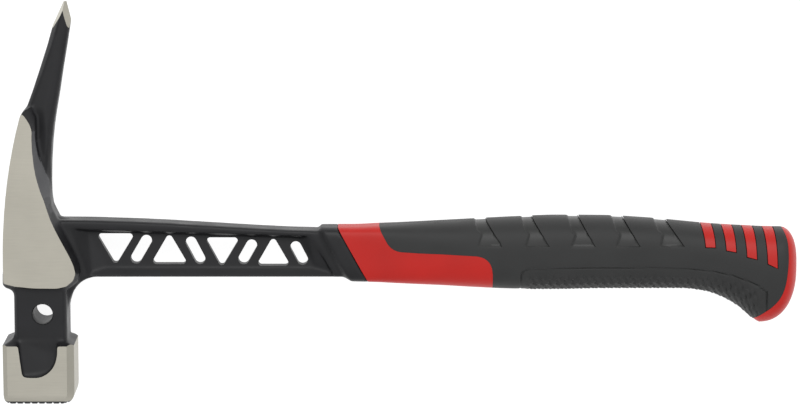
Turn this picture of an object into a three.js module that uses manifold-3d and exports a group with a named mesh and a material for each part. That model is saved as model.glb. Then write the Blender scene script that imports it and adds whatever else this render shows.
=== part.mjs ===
// A one-piece forged steel roofing hammer with a moulded grip, lying on its side.
// Millimetres. +X runs along the handle from the head to the butt, +Y points up the spike,
// and +Z points up, away from the surface that the hammer lies on.
// The origin is the centre of the footprint, on that surface.
//
// Outlines are drawn with "along" counted from the front of the poll towards the butt. On the
// head, "up" counts from the striking face towards the spike. On the handle, heights count from
// the handle's axis.
import * as THREE from "three";
import { mergeVertices } from "three/addons/utils/BufferGeometryUtils.js";
import Module from "manifold-3d";

const wasm = await Module();
wasm.setup();

// ---- driving dimensions -------------------------------------------------------------------

const overallLength = 330; // front of the poll to the end of the butt
const headLength = 166; // striking face to the tip of the spike
const axisUp = 62; // the handle's axis over the striking face
const gripLength = 184.5; // joint line to the end of the butt, on the axis
const fitGap = 0.3; // clearance between pieces that are moulded or pressed together

const poll = { width: 30, thickness: 28, height: 24, shoulder: 3.4, faceEdge: 1.6 };
const pollCorners = { front: 1.7, back: 3.2, frontFoot: 2, backFoot: 4.4, backFootHeight: 6.2 };
const teeth = { pitch: 3, depth: 0.9, border: 1.8 };
const neck = { front: 4, back: 27.4, thickness: 21, chamfer: 2 };
const neckHole = { along: 16.9, up: 37.2, radius: 4.2 };
const scoop = { front: 6.8, back: 23, foot: 11.1, toeDepth: 0.6 };
const nailGroove = { width: 4.6, depth: 2.3, length: 15 };
const nailHeadSlot = { width: 9, depth: 4.4, height: 2.4 };
const magnet = { radius: 3.4, thickness: 4.5, up: 8 };

const cheek = { foot: 50.3, tip: 120, thickness: 24, lobe: 32.3, bevelWidth: 3, bevelDepth: 5 };
const spike = { root: 80, rootThickness: 14.5, shoulderThickness: 7, pointLength: 9, apex: 27.3, flat: 0.5 };

const shank = { below: 10.2, aboveAtHead: 14, aboveAtGrip: 9.9, thickness: 12.6, edge: 1.2, fillet: 14 };
const web = { thickness: 5, start: 38.5, rail: 4.4 };
const windows = { margin: 8.5, pitch: 10.87, share: 0.53, slope: 0.64, corner: 1.3, slotWidth: 4.2 };

const slant = THREE.MathUtils.degToRad(29); // lean of the joint line, the bolster and the web's ends
const bolster = { length: 5.5, land: 10 };
const tang = { thickness: 5, height: 12, drop: 1, endMargin: 29, holeRadius: 3.2, holes: 3 };

const skinThickness = 3; // skin, collar, bars and cap over the rigid core
const tongue = { length: 57.7, above: -0.2, root: 11.7, corner: 5 };
const bars = { count: 4, pitch: 8.5, width: 3.9, fromButt: 14.8, sweep: 2.6, firstEnd: 2.9, endDrop: 2.9 };
const butt = { topCorner: 7.5, heelCorner: 15.3, sideCorner: 8, drop: 5, roundness: 0.985 };
const cap = { wall: 4.6, foot: 25.7, reach: 15.7 };

// The spike's front and back edges. Each row is a share of the way from its root to the
// shoulder of its point, then the two edges along the handle.
const spikeSections = [
  [0.0, 9, 20.9],
  [0.14, 8, 20.6],
  [0.28, 7.6, 20.5],
  [0.39, 7.4, 21.1],
  [0.48, 8.4, 22],
  [0.54, 10.2, 22.7],
  [0.64, 13.2, 24.3],
  [0.77, 17, 26.1],
  [1.0, 23.2, 29],
];

// The grip's sections. Each row is a share of the way along the grip from the joint line, the
// height of its back over the axis, the depth of its belly under the axis, half its thickness,
// and how square it is: 2 is an ellipse, and more is squarer.
const gripSections = [
  [-0.12, 10.6, 11.7, 8.2, 5],
  [0.0, 10.6, 12.1, 8.6, 4.8],
  [0.05, 11.0, 12.7, 9.2, 4.4],
  [0.11, 11.5, 13.3, 10.2, 3.6],
  [0.2, 12.3, 14.2, 11.5, 3.0],
  [0.28, 13.1, 15.2, 12.3, 2.7],
  [0.37, 13.9, 15.7, 12.9, 2.6],
  [0.46, 14.6, 15.5, 13.2, 2.6],
  [0.56, 14.5, 15.1, 13.1, 2.6],
  [0.66, 13.6, 15.1, 12.8, 2.6],
  [0.74, 12.4, 15.2, 12.6, 2.6],
  [0.79, 11.5, 16.4, 12.7, 2.6],
  [0.83, 10.9, 18.8, 12.9, 2.6],
  [0.87, 10.4, 22.8, 13.3, 2.7],
  [0.9, 10.1, 27.4, 13.7, 2.8],
  [0.92, 9.9, 29.4, 14.0, 2.8],
  [1.0, 9.6, 30.0, 14.0, 2.8],
];

// ---- the drawing's corner, in the part's frame --------------------------------------------

const headFront = -overallLength / 2;
const faceLevel = -headLength / 2;
const jointAlong = overallLength - gripLength;
const halfThicknesses = [poll.thickness / 2, cheek.thickness / 2, ...gripSections.map((row) => row[3])];
const restHeight = Math.max(...halfThicknesses);

// ---- solids from geometries, and back -----------------------------------------------------

function solidOf(geometry) {
  const bare = geometry.index ? geometry.toNonIndexed() : geometry.clone();
  bare.deleteAttribute("normal");
  bare.deleteAttribute("uv");
  const merged = mergeVertices(bare, 1e-4);
  return new wasm.Manifold(
    new wasm.Mesh({
      numProp: 3,
      vertProperties: merged.attributes.position.array,
      triVerts: new Uint32Array(merged.index.array),
    }),
  );
}

function geometryOf(solid) {
  const mesh = solid.getMesh();
  const geometry = new THREE.BufferGeometry();
  geometry.setAttribute("position", new THREE.BufferAttribute(mesh.vertProperties, 3));
  geometry.setIndex(new THREE.BufferAttribute(mesh.triVerts, 1));
  const faceted = geometry.toNonIndexed();
  faceted.computeVertexNormals();
  return faceted;
}

const joined = (solids) => solids.reduce((whole, solid) => whole.add(solid));

// A closed outline through [along, up] points.
function outline(points) {
  return new THREE.Shape(points.map(([along, up]) => new THREE.Vector2(along, up)));
}

// A solid of an outline, from one height over the hammer's middle plane to another.
function plate(shape, low, high, curveSegments = 12) {
  const geometry = new THREE.ExtrudeGeometry(shape, { depth: high - low, bevelEnabled: false, curveSegments });
  return solidOf(geometry.translate(0, 0, low));
}

// The same, centred on the middle plane, with its two faces cut back to the outline and its
// waist standing out by the bevel.
function bevelledPlate(shape, thickness, bevelWidth, bevelDepth, curveSegments = 12) {
  const geometry = new THREE.ExtrudeGeometry(shape, {
    depth: thickness - 2 * bevelDepth,
    bevelEnabled: true,
    bevelThickness: bevelDepth,
    bevelSize: bevelWidth,
    bevelSegments: 1,
    curveSegments,
  });
  return solidOf(geometry.translate(0, 0, bevelDepth - thickness / 2));
}

// A solid through rings of points, each ring closed by a fan at the two ends.
function loft(rings) {
  const count = rings[0].length;
  const middle = (ring) => ring.reduce((sum, p) => sum.add(p), new THREE.Vector3()).divideScalar(count);
  const points = [...rings.flat(), middle(rings[0]), middle(rings.at(-1))];
  const [startCentre, endCentre] = [points.length - 2, points.length - 1];
  const lastRing = (rings.length - 1) * count;
  const faces = [];
  for (let i = 0; i < count; i++) {
    const next = (i + 1) % count;
    faces.push(startCentre, next, i);
    faces.push(endCentre, lastRing + i, lastRing + next);
    for (let r = 0; r < lastRing; r += count) {
      faces.push(r + i, r + next, r + count + next);
      faces.push(r + i, r + count + next, r + count + i);
    }
  }
  const geometry = new THREE.BufferGeometry().setFromPoints(points);
  geometry.setIndex(faces);
  const solid = solidOf(geometry);
  if (solid.volume() > 0) return solid;
  geometry.setIndex(faces.reverse());
  return solidOf(geometry);
}

// A smooth curve through [position, value] pairs in rising order of position, which never
// swings past a value.
function smoothValue(pairs, position) {
  const last = pairs.length - 1;
  const steepness = (i) => (pairs[i + 1][1] - pairs[i][1]) / (pairs[i + 1][0] - pairs[i][0]);
  const slope = (i) => {
    if (i === 0 || i === last) return 0;
    const [before, after] = [steepness(i - 1), steepness(i)];
    return before * after <= 0 ? 0 : (2 * before * after) / (before + after);
  };
  const at = THREE.MathUtils.clamp(pairs.findIndex((pair) => pair[0] > position) - 1, 0, last - 1);
  const here = position >= pairs[last][0] ? last - 1 : at;
  const span = pairs[here + 1][0] - pairs[here][0];
  const t = THREE.MathUtils.clamp((position - pairs[here][0]) / span, 0, 1);
  const rise = t * t * (3 - 2 * t);
  const startPull = slope(here) * span * t * (1 - t) * (1 - t);
  const endPull = slope(here + 1) * span * t * t * (1 - t);
  return pairs[here][1] * (1 - rise) + pairs[here + 1][1] * rise + startPull - endPull;
}

// ---- the head -----------------------------------------------------------------------------

// The poll: a square block that narrows at its shoulder, under the neck. Its upright corners are
// broken, the two at the back more than the two at the front, and so is the foot of its back.
function pollSolid() {
  const ring = (up, frontInset, backInset, sideInset) => {
    const [front, back] = [frontInset, poll.width - backInset];
    const half = poll.thickness / 2 - sideInset;
    return [
      [back, half - pollCorners.back],
      [back - pollCorners.back, half],
      [front + pollCorners.front, half],
      [front, half - pollCorners.front],
      [front, pollCorners.front - half],
      [front + pollCorners.front, -half],
      [back - pollCorners.back, -half],
      [back, pollCorners.back - half],
    ].map(([along, z]) => new THREE.Vector3(along, up, z));
  };
  const { frontFoot, backFoot, backFootHeight } = pollCorners;
  return loft([
    ring(0, frontFoot, backFoot, poll.faceEdge),
    ring(frontFoot, 0, backFoot * 0.35, 0),
    ring(backFootHeight, 0, 0, 0),
    ring(poll.height, 0, 0, 0),
    ring(poll.height + poll.shoulder, poll.shoulder, poll.shoulder, poll.shoulder),
  ]);
}

// V-grooves both ways over the striking face, which leave rows of small pyramids.
function teethCutter() {
  const groove = outline([
    [-teeth.depth, -teeth.depth],
    [teeth.depth, -teeth.depth],
    [0, teeth.depth],
  ]);
  const rows = (width, turn, place) => {
    const count = Math.floor((width - 2 * teeth.border) / teeth.pitch);
    return Array.from({ length: count + 1 }, (_, i) => {
      const offset = (i - count / 2) * teeth.pitch;
      const bar = new THREE.ExtrudeGeometry(groove, { depth: 2 * poll.width, bevelEnabled: false });
      bar.translate(0, 0, -poll.width).rotateY(turn);
      return solidOf(bar.translate(...place(offset)));
    });
  };
  return joined([
    ...rows(poll.width, 0, (offset) => [poll.width / 2 + offset, 0, 0]),
    ...rows(poll.thickness, Math.PI / 2, (offset) => [poll.width / 2, 0, offset]),
  ]);
}

// The neck between the poll and the cheek, with its four long edges broken.
function neckSolid() {
  const half = neck.thickness / 2;
  const ring = (up) =>
    [
      [neck.back, half - neck.chamfer],
      [neck.back - neck.chamfer, half],
      [neck.front + neck.chamfer, half],
      [neck.front, half - neck.chamfer],
      [neck.front, neck.chamfer - half],
      [neck.front + neck.chamfer, -half],
      [neck.back - neck.chamfer, -half],
      [neck.back, neck.chamfer - half],
    ].map(([along, z]) => new THREE.Vector3(along, up, z));
  return loft([ring(poll.height - 6), ring(cheek.foot + 6)]);
}

// The hollow in each side of the poll that carries the neck's side down between its two horns.
// Its floor leaves the neck's side at the shoulder and meets the poll's side at its foot.
function scoopCutter(side) {
  const shape = new THREE.Shape();
  shape.moveTo(scoop.front, poll.height + poll.shoulder + 1);
  shape.lineTo(scoop.front + 1.2, scoop.foot + 1.6);
  shape.quadraticCurveTo(scoop.front + 1.3, scoop.foot, scoop.front + 3, scoop.foot);
  shape.lineTo(scoop.front + 6.6, scoop.foot);
  shape.quadraticCurveTo(scoop.back, scoop.foot + 1.2, scoop.back, poll.height - 2);
  shape.lineTo(scoop.back, poll.height + poll.shoulder + 1);
  shape.closePath();
  const headOfFloor = neck.thickness / 2;
  const footOfFloor = poll.thickness / 2 - scoop.toeDepth;
  const slope = (headOfFloor - footOfFloor) / (poll.height - scoop.foot);
  const geometry = new THREE.ExtrudeGeometry(shape, { depth: 8, bevelEnabled: false, curveSegments: 8 });
  const shear = new THREE.Matrix4().set(1, 0, 0, 0, 0, 1, 0, 0, 0, slope, 1, 0, 0, 0, 0, 1);
  geometry.applyMatrix4(shear).translate(0, 0, footOfFloor - slope * scoop.foot);
  const solid = solidOf(geometry);
  return side > 0 ? solid : solid.mirror([0, 0, 1]);
}

// The groove for a nail's shank down the front of the poll, the slot for its head, and the
// pocket for the magnet behind the groove.
function nailStarterCutter() {
  const box = (depth, low, high, width) => {
    const geometry = new THREE.BoxGeometry(depth + 2, high - low, width);
    return solidOf(geometry.translate(depth / 2 - 1, (low + high) / 2, 0));
  };
  const groove = outline([
    [-2, -nailGroove.width / 2 - 2],
    [nailGroove.depth, 0],
    [-2, nailGroove.width / 2 + 2],
  ]);
  const length = nailGroove.length + 4;
  const vee = new THREE.ExtrudeGeometry(groove, { depth: length, bevelEnabled: false });
  vee.rotateX(-Math.PI / 2).translate(0, nailGroove.length - length, 0);
  const pocketDepth = magnet.thickness + 2 * fitGap + 4;
  const pocket = new THREE.CylinderGeometry(magnet.radius + fitGap, magnet.radius + fitGap, pocketDepth, 32);
  pocket.rotateZ(Math.PI / 2).translate(magnetFront() + magnet.thickness + fitGap - pocketDepth / 2, magnet.up, 0);
  const slotTop = nailGroove.length + nailHeadSlot.height;
  return joined([
    solidOf(vee),
    box(nailHeadSlot.depth, nailGroove.length, slotTop, nailHeadSlot.width),
    solidOf(pocket),
  ]);
}

// The magnet's front lies just under the bottom of the groove.
function magnetFront() {
  return nailGroove.depth + fitGap;
}

function magnetSolid() {
  const disc = new THREE.CylinderGeometry(magnet.radius, magnet.radius, magnet.thickness, 32);
  disc.rotateZ(Math.PI / 2).translate(magnetFront() + magnet.thickness / 2, magnet.up, 0);
  return solidOf(disc);
}

// The cheek: a thick plate with ground sides and a bevel along its back, trimmed to the head's
// convex front edge.
function cheekSolid() {
  const { foot, tip, lobe, thickness } = cheek;
  const waist = tip - 35;
  const face = new THREE.Shape();
  face.moveTo(0.6, foot);
  face.quadraticCurveTo(-1, (foot + tip) / 2 + 3, 8.9, tip);
  face.lineTo(13.2, tip - 4.4);
  face.quadraticCurveTo(12.8, tip - 19, 17.6, waist);
  face.lineTo(lobe - 3.4, foot + 9.7);
  face.quadraticCurveTo(lobe, foot + 2.1, lobe - 4.6, foot - 0.3);
  face.quadraticCurveTo(lobe - 6.5, foot - 1.7, lobe - 10.3, foot - 2.2);
  face.quadraticCurveTo(12, foot - 2.1, 0.6, foot);
  const front = new THREE.Shape();
  front.moveTo(0.3, foot - 2.2);
  front.quadraticCurveTo(-1.2, (foot + tip) / 2 + 3, 8.2, tip + 0.8);
  front.lineTo(lobe + 10, tip + 0.8);
  front.lineTo(lobe + 10, foot - 3.9);
  front.lineTo(5, foot - 3.9);
  front.closePath();
  const body = bevelledPlate(face, thickness, cheek.bevelWidth, cheek.bevelDepth);
  return body.intersect(plate(front, -thickness, thickness));
}

// The spike: a square bar that tapers from inside the cheek to its shoulder and ends in a point.
function spikeSolid() {
  const shoulder = headLength - spike.pointLength;
  const ring = (up, front, back, thickness) => {
    const half = thickness / 2;
    const edge = half / 6;
    return [
      [back, half - edge],
      [back - edge, half],
      [front + edge, half],
      [front, half - edge],
      [front, edge - half],
      [front + edge, -half],
      [back - edge, -half],
      [back, edge - half],
    ].map(([along, z]) => new THREE.Vector3(along, up, z));
  };
  const rings = spikeSections.map(([share, front, back]) => {
    const thickness = THREE.MathUtils.lerp(spike.rootThickness, spike.shoulderThickness, share);
    return ring(THREE.MathUtils.lerp(spike.root, shoulder, share), front, back, thickness);
  });
  rings.push(ring(headLength, spike.apex - spike.flat / 2, spike.apex + spike.flat / 2, spike.flat));
  return loft(rings);
}

// ---- the handle's steel -------------------------------------------------------------------

// Where a line with the handle's lean crosses a height, from where it crosses the axis.
const leaning = (alongAxis, up) => alongAxis + (axisUp - up) * Math.tan(slant);

const shankBottom = axisUp - shank.below;

// A plate between two leaning lines, through the whole thickness.
function leaningSlab(from, to) {
  const [low, high] = [axisUp - 60, axisUp + 60];
  const shape = outline([
    [leaning(from, low), low],
    [leaning(to, low), low],
    [leaning(to, high), high],
    [leaning(from, high), high],
  ]);
  return plate(shape, -40, 40);
}

const bolsterFront = jointAlong - bolster.length;
const webEnd = bolsterFront - bolster.land;

// The shank's top falls in a straight line from the head to the grip.
function shankTop(along) {
  const share = (along - neck.back) / (bolsterFront - neck.back);
  return axisUp + THREE.MathUtils.lerp(shank.aboveAtHead, shank.aboveAtGrip, share);
}

// The solid bar of the shank, with the fillets that carry it into the head. It grows by the
// width of its broken edges when it is extruded.
function shankBar() {
  const { edge, fillet, thickness } = shank;
  const bottom = shankBottom + edge;
  const top = (along) => shankTop(along) - edge;
  const endTop = leaning(bolsterFront + 2, axisUp + shank.aboveAtGrip);
  const inHead = neck.back - 13;
  const shape = new THREE.Shape();
  shape.moveTo(inHead, bottom - fillet);
  shape.lineTo(neck.back - edge, bottom - fillet);
  shape.quadraticCurveTo(neck.back - edge, bottom, neck.back + fillet, bottom);
  shape.lineTo(leaning(bolsterFront + 2, shankBottom), bottom);
  shape.lineTo(endTop, top(endTop));
  shape.lineTo(neck.back + 1, top(neck.back + 1));
  shape.quadraticCurveTo(neck.back - 6.4, top(neck.back), neck.back - 8, top(neck.back) + 10);
  shape.lineTo(inHead, top(neck.back) + 10);
  shape.closePath();
  return bevelledPlate(shape, thickness, edge, edge);
}

// The pocket in each side of the shank, which leaves a rail above and below a thin web.
function webPocket(side) {
  const bottom = shankBottom + web.rail;
  const top = (along) => shankTop(along) - web.rail;
  const startTop = leaning(web.start, top(web.start));
  const endTop = leaning(webEnd, top(webEnd));
  const shape = outline([
    [leaning(web.start, bottom), bottom],
    [leaning(webEnd, bottom), bottom],
    [endTop, top(endTop)],
    [startTop, top(startTop)],
  ]);
  const floor = web.thickness / 2;
  return side > 0 ? plate(shape, floor, shank.thickness) : plate(shape, -shank.thickness, -floor);
}

// A triangle with round corners, its point up or down.
function triangleWindow(along, middle, height, pointsUp) {
  const lean = pointsUp ? 1 : -1;
  const halfBase = height * windows.slope;
  const corners = [
    new THREE.Vector2(along - halfBase, middle - (lean * height) / 2),
    new THREE.Vector2(along, middle + lean * (height / 2 + windows.corner)),
    new THREE.Vector2(along + halfBase, middle - (lean * height) / 2),
  ];
  const shape = new THREE.Shape();
  corners.forEach((corner, i) => {
    const before = corners[(i + 2) % 3].clone().sub(corner).setLength(2 * windows.corner).add(corner);
    const after = corners[(i + 1) % 3].clone().sub(corner).setLength(2 * windows.corner).add(corner);
    if (i === 0) shape.moveTo(before.x, before.y);
    else shape.lineTo(before.x, before.y);
    shape.quadraticCurveTo(corner.x, corner.y, after.x, after.y);
  });
  shape.closePath();
  return plate(shape, -web.thickness, web.thickness, 4);
}

// A slot with round ends, parallel to the sides of the triangles that it stands between.
function slotWindow(along, middle, height, leansBack) {
  const radius = windows.slotWidth / 2;
  const reach = height / 2 - radius;
  const slope = leansBack ? windows.slope : -windows.slope;
  const tilt = Math.atan(slope);
  const [topAlong, bottomAlong] = [along + slope * reach, along - slope * reach];
  const shape = new THREE.Shape();
  shape.absarc(topAlong, middle + reach, radius, -tilt, Math.PI - tilt, false);
  shape.absarc(bottomAlong, middle - reach, radius, Math.PI - tilt, 2 * Math.PI - tilt, false);
  shape.closePath();
  return plate(shape, -web.thickness, web.thickness, 6);
}

// The row of windows: a triangle, a slot, a triangle the other way up, a slot, and so on, as
// many as the web has room for. They get lower as the shank does.
function windowCutters() {
  const first = web.start + windows.margin;
  const count = 1 + Math.floor((webEnd - windows.slotWidth - first) / windows.pitch);
  return Array.from({ length: count }, (_, i) => {
    const along = first + i * windows.pitch;
    const middle = (shankBottom + shankTop(along)) / 2;
    const height = (shankTop(along) - shankBottom) * windows.share;
    if (i % 2 === 0) return triangleWindow(along, middle, height, i % 4 === 2);
    return slotWindow(along, middle, height, i % 4 === 1);
  });
}

// The tang: a flat bar inside the grip, with holes that the core's plastic fills.
function tangSolid(grow) {
  const half = tang.height / 2 + grow;
  const middle = axisUp - tang.drop;
  const end = overallLength - tang.endMargin;
  const shape = new THREE.Shape();
  shape.moveTo(bolsterFront, middle - half);
  shape.lineTo(end + grow - half, middle - half);
  shape.absarc(end + grow - half, middle, half, -Math.PI / 2, Math.PI / 2, false);
  shape.lineTo(bolsterFront, middle + half);
  shape.closePath();
  const firstHole = jointAlong + 2 * tang.height;
  const lastHole = end - 1.5 * tang.height;
  for (let i = 0; i < tang.holes; i++) {
    const along = THREE.MathUtils.lerp(firstHole, lastHole, i / (tang.holes - 1));
    const hole = new THREE.Path();
    hole.absarc(along, middle, tang.holeRadius - grow, 0, 2 * Math.PI, true);
    shape.holes.push(hole);
  }
  return plate(shape, -tang.thickness / 2 - grow, tang.thickness / 2 + grow, 10);
}

function forgingSolid() {
  const bolsterBlock = gripBody(0).intersect(leaningSlab(bolsterFront, jointAlong - fitGap));
  const blank = joined([
    pollSolid(),
    neckSolid(),
    cheekSolid(),
    spikeSolid(),
    shankBar(),
    bolsterBlock,
    tangSolid(0),
  ]);
  const bore = new THREE.CylinderGeometry(neckHole.radius, neckHole.radius, 2 * neck.thickness, 40);
  bore.rotateX(Math.PI / 2).translate(neckHole.along, neckHole.up, 0);
  const cutters = [
    teethCutter(),
    scoopCutter(1),
    scoopCutter(-1),
    solidOf(bore),
    nailStarterCutter(),
    webPocket(1),
    webPocket(-1),
    ...windowCutters(),
  ];
  return blank.subtract(joined(cutters));
}

// ---- the grip -----------------------------------------------------------------------------

const column = (index) => gripSections.map((row) => [row[0], row[index]]);

// The top, bottom, half thickness and squareness of the grip at one place, with its surface
// taken in by an inset. The butt closes on quarter ellipses.
function gripSection(along, inset) {
  const centre = axisUp - butt.drop;
  const open = (index, corner) => {
    const place = Math.min(along, overallLength - corner);
    return smoothValue(column(index), (place - jointAlong) / gripLength);
  };
  const closing = (corner) => {
    const depth = Math.max(0, along - (overallLength - corner)) / (corner - inset);
    return Math.sqrt(1 - (butt.roundness * depth) ** 2);
  };
  const rise = axisUp + open(1, butt.topCorner) - inset - centre;
  const fall = centre - (axisUp - open(2, butt.heelCorner)) - inset;
  return {
    top: centre + rise * closing(butt.topCorner),
    bottom: centre - fall * closing(butt.heelCorner),
    half: (open(3, butt.sideCorner) - inset) * closing(butt.sideCorner),
    squareness: open(4, 0),
  };
}

// The grip's body as one solid, its surface taken in by an inset.
function gripBody(inset, around = 32, steps = 22) {
  const start = bolsterFront - axisUp * Math.tan(slant) / 2;
  const heel = overallLength - butt.heelCorner;
  const closing = [0.25, 0.46, 0.64, 0.78, 0.89, 0.96, 1];
  const straight = Array.from({ length: steps + 1 }, (_, i) => THREE.MathUtils.lerp(start, heel, i / steps));
  const rounded = closing.map((share) => heel + share * (butt.heelCorner - inset));
  const rings = [...straight, ...rounded].map((along) => {
    const { top, bottom, half, squareness } = gripSection(along, inset);
    const bent = (v) => Math.sign(v) * Math.abs(v) ** (2 / squareness);
    return Array.from({ length: around }, (_, i) => {
      const angle = (2 * Math.PI * i) / around;
      const up = (top + bottom) / 2 + ((top - bottom) / 2) * bent(Math.cos(angle));
      return new THREE.Vector3(along, up, half * bent(Math.sin(angle)));
    });
  });
  return loft(rings);
}

// The side view of the red collar: a leaning band with a tongue along the belly.
function collarOutline(grow) {
  const [high, low] = [axisUp + 40, axisUp - 40];
  const end = jointAlong + tongue.length + grow;
  const root = jointAlong + tongue.root + grow;
  const top = axisUp + tongue.above + grow;
  const shape = new THREE.Shape();
  shape.moveTo(leaning(jointAlong - grow, high), high);
  shape.lineTo(leaning(jointAlong - grow, low), low);
  shape.lineTo(end, low);
  shape.lineTo(end, top - 2 * tongue.corner);
  shape.quadraticCurveTo(end, top, end - tongue.corner, top);
  shape.lineTo(root + 9, top + 1);
  shape.quadraticCurveTo(root + 4, top + 1, root + 2, top + 5);
  shape.lineTo(leaning(root + 1, high), high);
  shape.closePath();
  return shape;
}

// The side view of one red bar: a curved strip over the grip's back, longer towards the butt.
function barOutline(index, grow) {
  const left = overallLength - bars.fromButt - (bars.count - 1 - index) * bars.pitch - grow;
  const right = left + bars.width + 2 * grow;
  const bottom = axisUp + bars.firstEnd - index * bars.endDrop - grow;
  const lift = index * 0.5;
  const bend = axisUp + 12;
  const high = axisUp + 28;
  const shape = new THREE.Shape();
  shape.moveTo(left - bars.sweep, high);
  shape.quadraticCurveTo(left + bars.sweep, bend, left + bars.sweep, bottom + lift);
  shape.lineTo(right + bars.sweep, bottom);
  shape.quadraticCurveTo(right + bars.sweep, bend, right - bars.sweep, high);
  shape.closePath();
  return shape;
}

// The side view of the butt cap: what lies outside a smaller curve drawn inside the butt, from
// its back round to a line at the heel. The belly in front of that line belongs to the skin.
function capOutline(grow) {
  const inner = overallLength - cap.wall - grow;
  const centre = axisUp - 2;
  const middle = inner - cap.reach;
  const foot = axisUp - cap.foot + grow;
  const shape = new THREE.Shape();
  shape.moveTo(inner - 4, centre + 20);
  shape.quadraticCurveTo(inner, centre + 10, inner, centre);
  shape.absellipse(middle, centre, inner - middle, centre - foot, 0, -Math.PI / 2, true);
  shape.lineTo(middle, foot - 30);
  shape.lineTo(overallLength + 20, foot - 30);
  shape.lineTo(overallLength + 20, centre + 20);
  shape.closePath();
  return shape;
}

const through = (shape) => plate(shape, -40, 40);

function gripPieces() {
  const core = gripBody(skinThickness, 20, 16);
  const sleeve = gripBody(0).subtract(gripBody(skinThickness - fitGap, 20, 16));
  const behindJoint = leaningSlab(jointAlong, overallLength + 100);
  const shell = sleeve.intersect(behindJoint);
  const skinCutters = [through(collarOutline(fitGap)), through(capOutline(fitGap))];
  const pieces = {
    tang_core: core.intersect(behindJoint).subtract(tangSolid(fitGap)),
    front_collar: shell.intersect(through(collarOutline(0))),
    butt_cap: shell.intersect(through(capOutline(0))),
  };
  for (let i = 0; i < bars.count; i++) {
    pieces[`grip_bar_${i + 1}`] = shell.intersect(through(barOutline(i, 0)));
    skinCutters.push(through(barOutline(i, fitGap)));
  }
  pieces.grip_skin = shell.subtract(joined(skinCutters));
  return pieces;
}

// ---- the assembly -------------------------------------------------------------------------

const blackSteel = { color: 0x26262a, roughness: 0.42, metalness: 0.6 };
const magnetSteel = { color: 0xb9bcc0, roughness: 0.25, metalness: 1 };
const rigidPlastic = { color: 0x3a3a3c, roughness: 0.6, metalness: 0 };
const blackRubber = { color: 0x2c2c2d, roughness: 0.75, metalness: 0 };
const redPlastic = { color: 0xb4201a, roughness: 0.45, metalness: 0 };

const hammer = new THREE.Group();
hammer.name = "roofing_hammer";
hammer.position.set(headFront, faceLevel, restHeight);

function addPiece(name, solid, finish) {
  const mesh = new THREE.Mesh(geometryOf(solid), new THREE.MeshStandardMaterial(finish));
  mesh.name = name;
  hammer.add(mesh);
}

addPiece("hammer_forging", forgingSolid(), blackSteel);
addPiece("nail_magnet", magnetSolid(), magnetSteel);
const finishes = { tang_core: rigidPlastic, grip_skin: blackRubber };
for (const [name, solid] of Object.entries(gripPieces())) {
  addPiece(name, solid, finishes[name] ?? redPlastic);
}

export default hammer;
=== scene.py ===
"""A one-piece forged roofing hammer with a moulded grip, lying on its side on a pale floor.

Shapes are drawn in millimetres on the hammer's own drawing: "along" runs from the front of the
poll to the butt, "up" from the striking face to the tip of the spike, and "out" from the middle
plane of the thickness. Drawing.place turns them into metres in the shared frame.
"""

import logging
import math
from dataclasses import dataclass, field
from enum import Enum
from typing import Callable, Sequence

import bmesh
import bpy
import numpy as np
from bpy.types import Material, Node, NodeSocket, Object
from mathutils import Matrix, Vector


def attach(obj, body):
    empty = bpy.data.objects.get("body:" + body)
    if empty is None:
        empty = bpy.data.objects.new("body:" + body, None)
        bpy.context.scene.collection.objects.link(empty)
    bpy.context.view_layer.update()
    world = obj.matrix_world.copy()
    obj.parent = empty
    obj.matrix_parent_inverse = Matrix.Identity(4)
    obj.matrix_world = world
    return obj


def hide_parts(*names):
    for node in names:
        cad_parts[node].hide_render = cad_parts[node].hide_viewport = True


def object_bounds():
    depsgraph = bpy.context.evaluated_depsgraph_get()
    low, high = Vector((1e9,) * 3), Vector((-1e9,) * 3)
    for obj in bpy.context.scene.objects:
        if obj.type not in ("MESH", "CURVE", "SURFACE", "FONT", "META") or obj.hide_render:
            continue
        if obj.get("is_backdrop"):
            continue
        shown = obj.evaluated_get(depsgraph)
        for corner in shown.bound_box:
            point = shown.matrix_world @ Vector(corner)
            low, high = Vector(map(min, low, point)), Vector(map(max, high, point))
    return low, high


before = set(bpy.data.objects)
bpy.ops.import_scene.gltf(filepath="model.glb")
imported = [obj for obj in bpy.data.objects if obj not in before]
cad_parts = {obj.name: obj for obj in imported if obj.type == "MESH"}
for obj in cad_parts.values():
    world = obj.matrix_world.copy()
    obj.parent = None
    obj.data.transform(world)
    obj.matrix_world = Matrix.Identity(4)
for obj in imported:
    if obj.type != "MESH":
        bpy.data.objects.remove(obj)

Point2 = tuple[float, float]
Point3 = tuple[float, float, float]
MM = 0.001
BODY = "root"
log = logging.getLogger("roofing_hammer")


class Cut(Enum):
    """The ways in which one solid works on another."""

    JOIN = "UNION"
    REMOVE = "DIFFERENCE"
    KEEP = "INTERSECT"


class Side(Enum):
    """The two sides of the hammer's middle plane."""

    NEAR = 1
    FAR = -1


# ---- the drawing --------------------------------------------------------------------------


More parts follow.
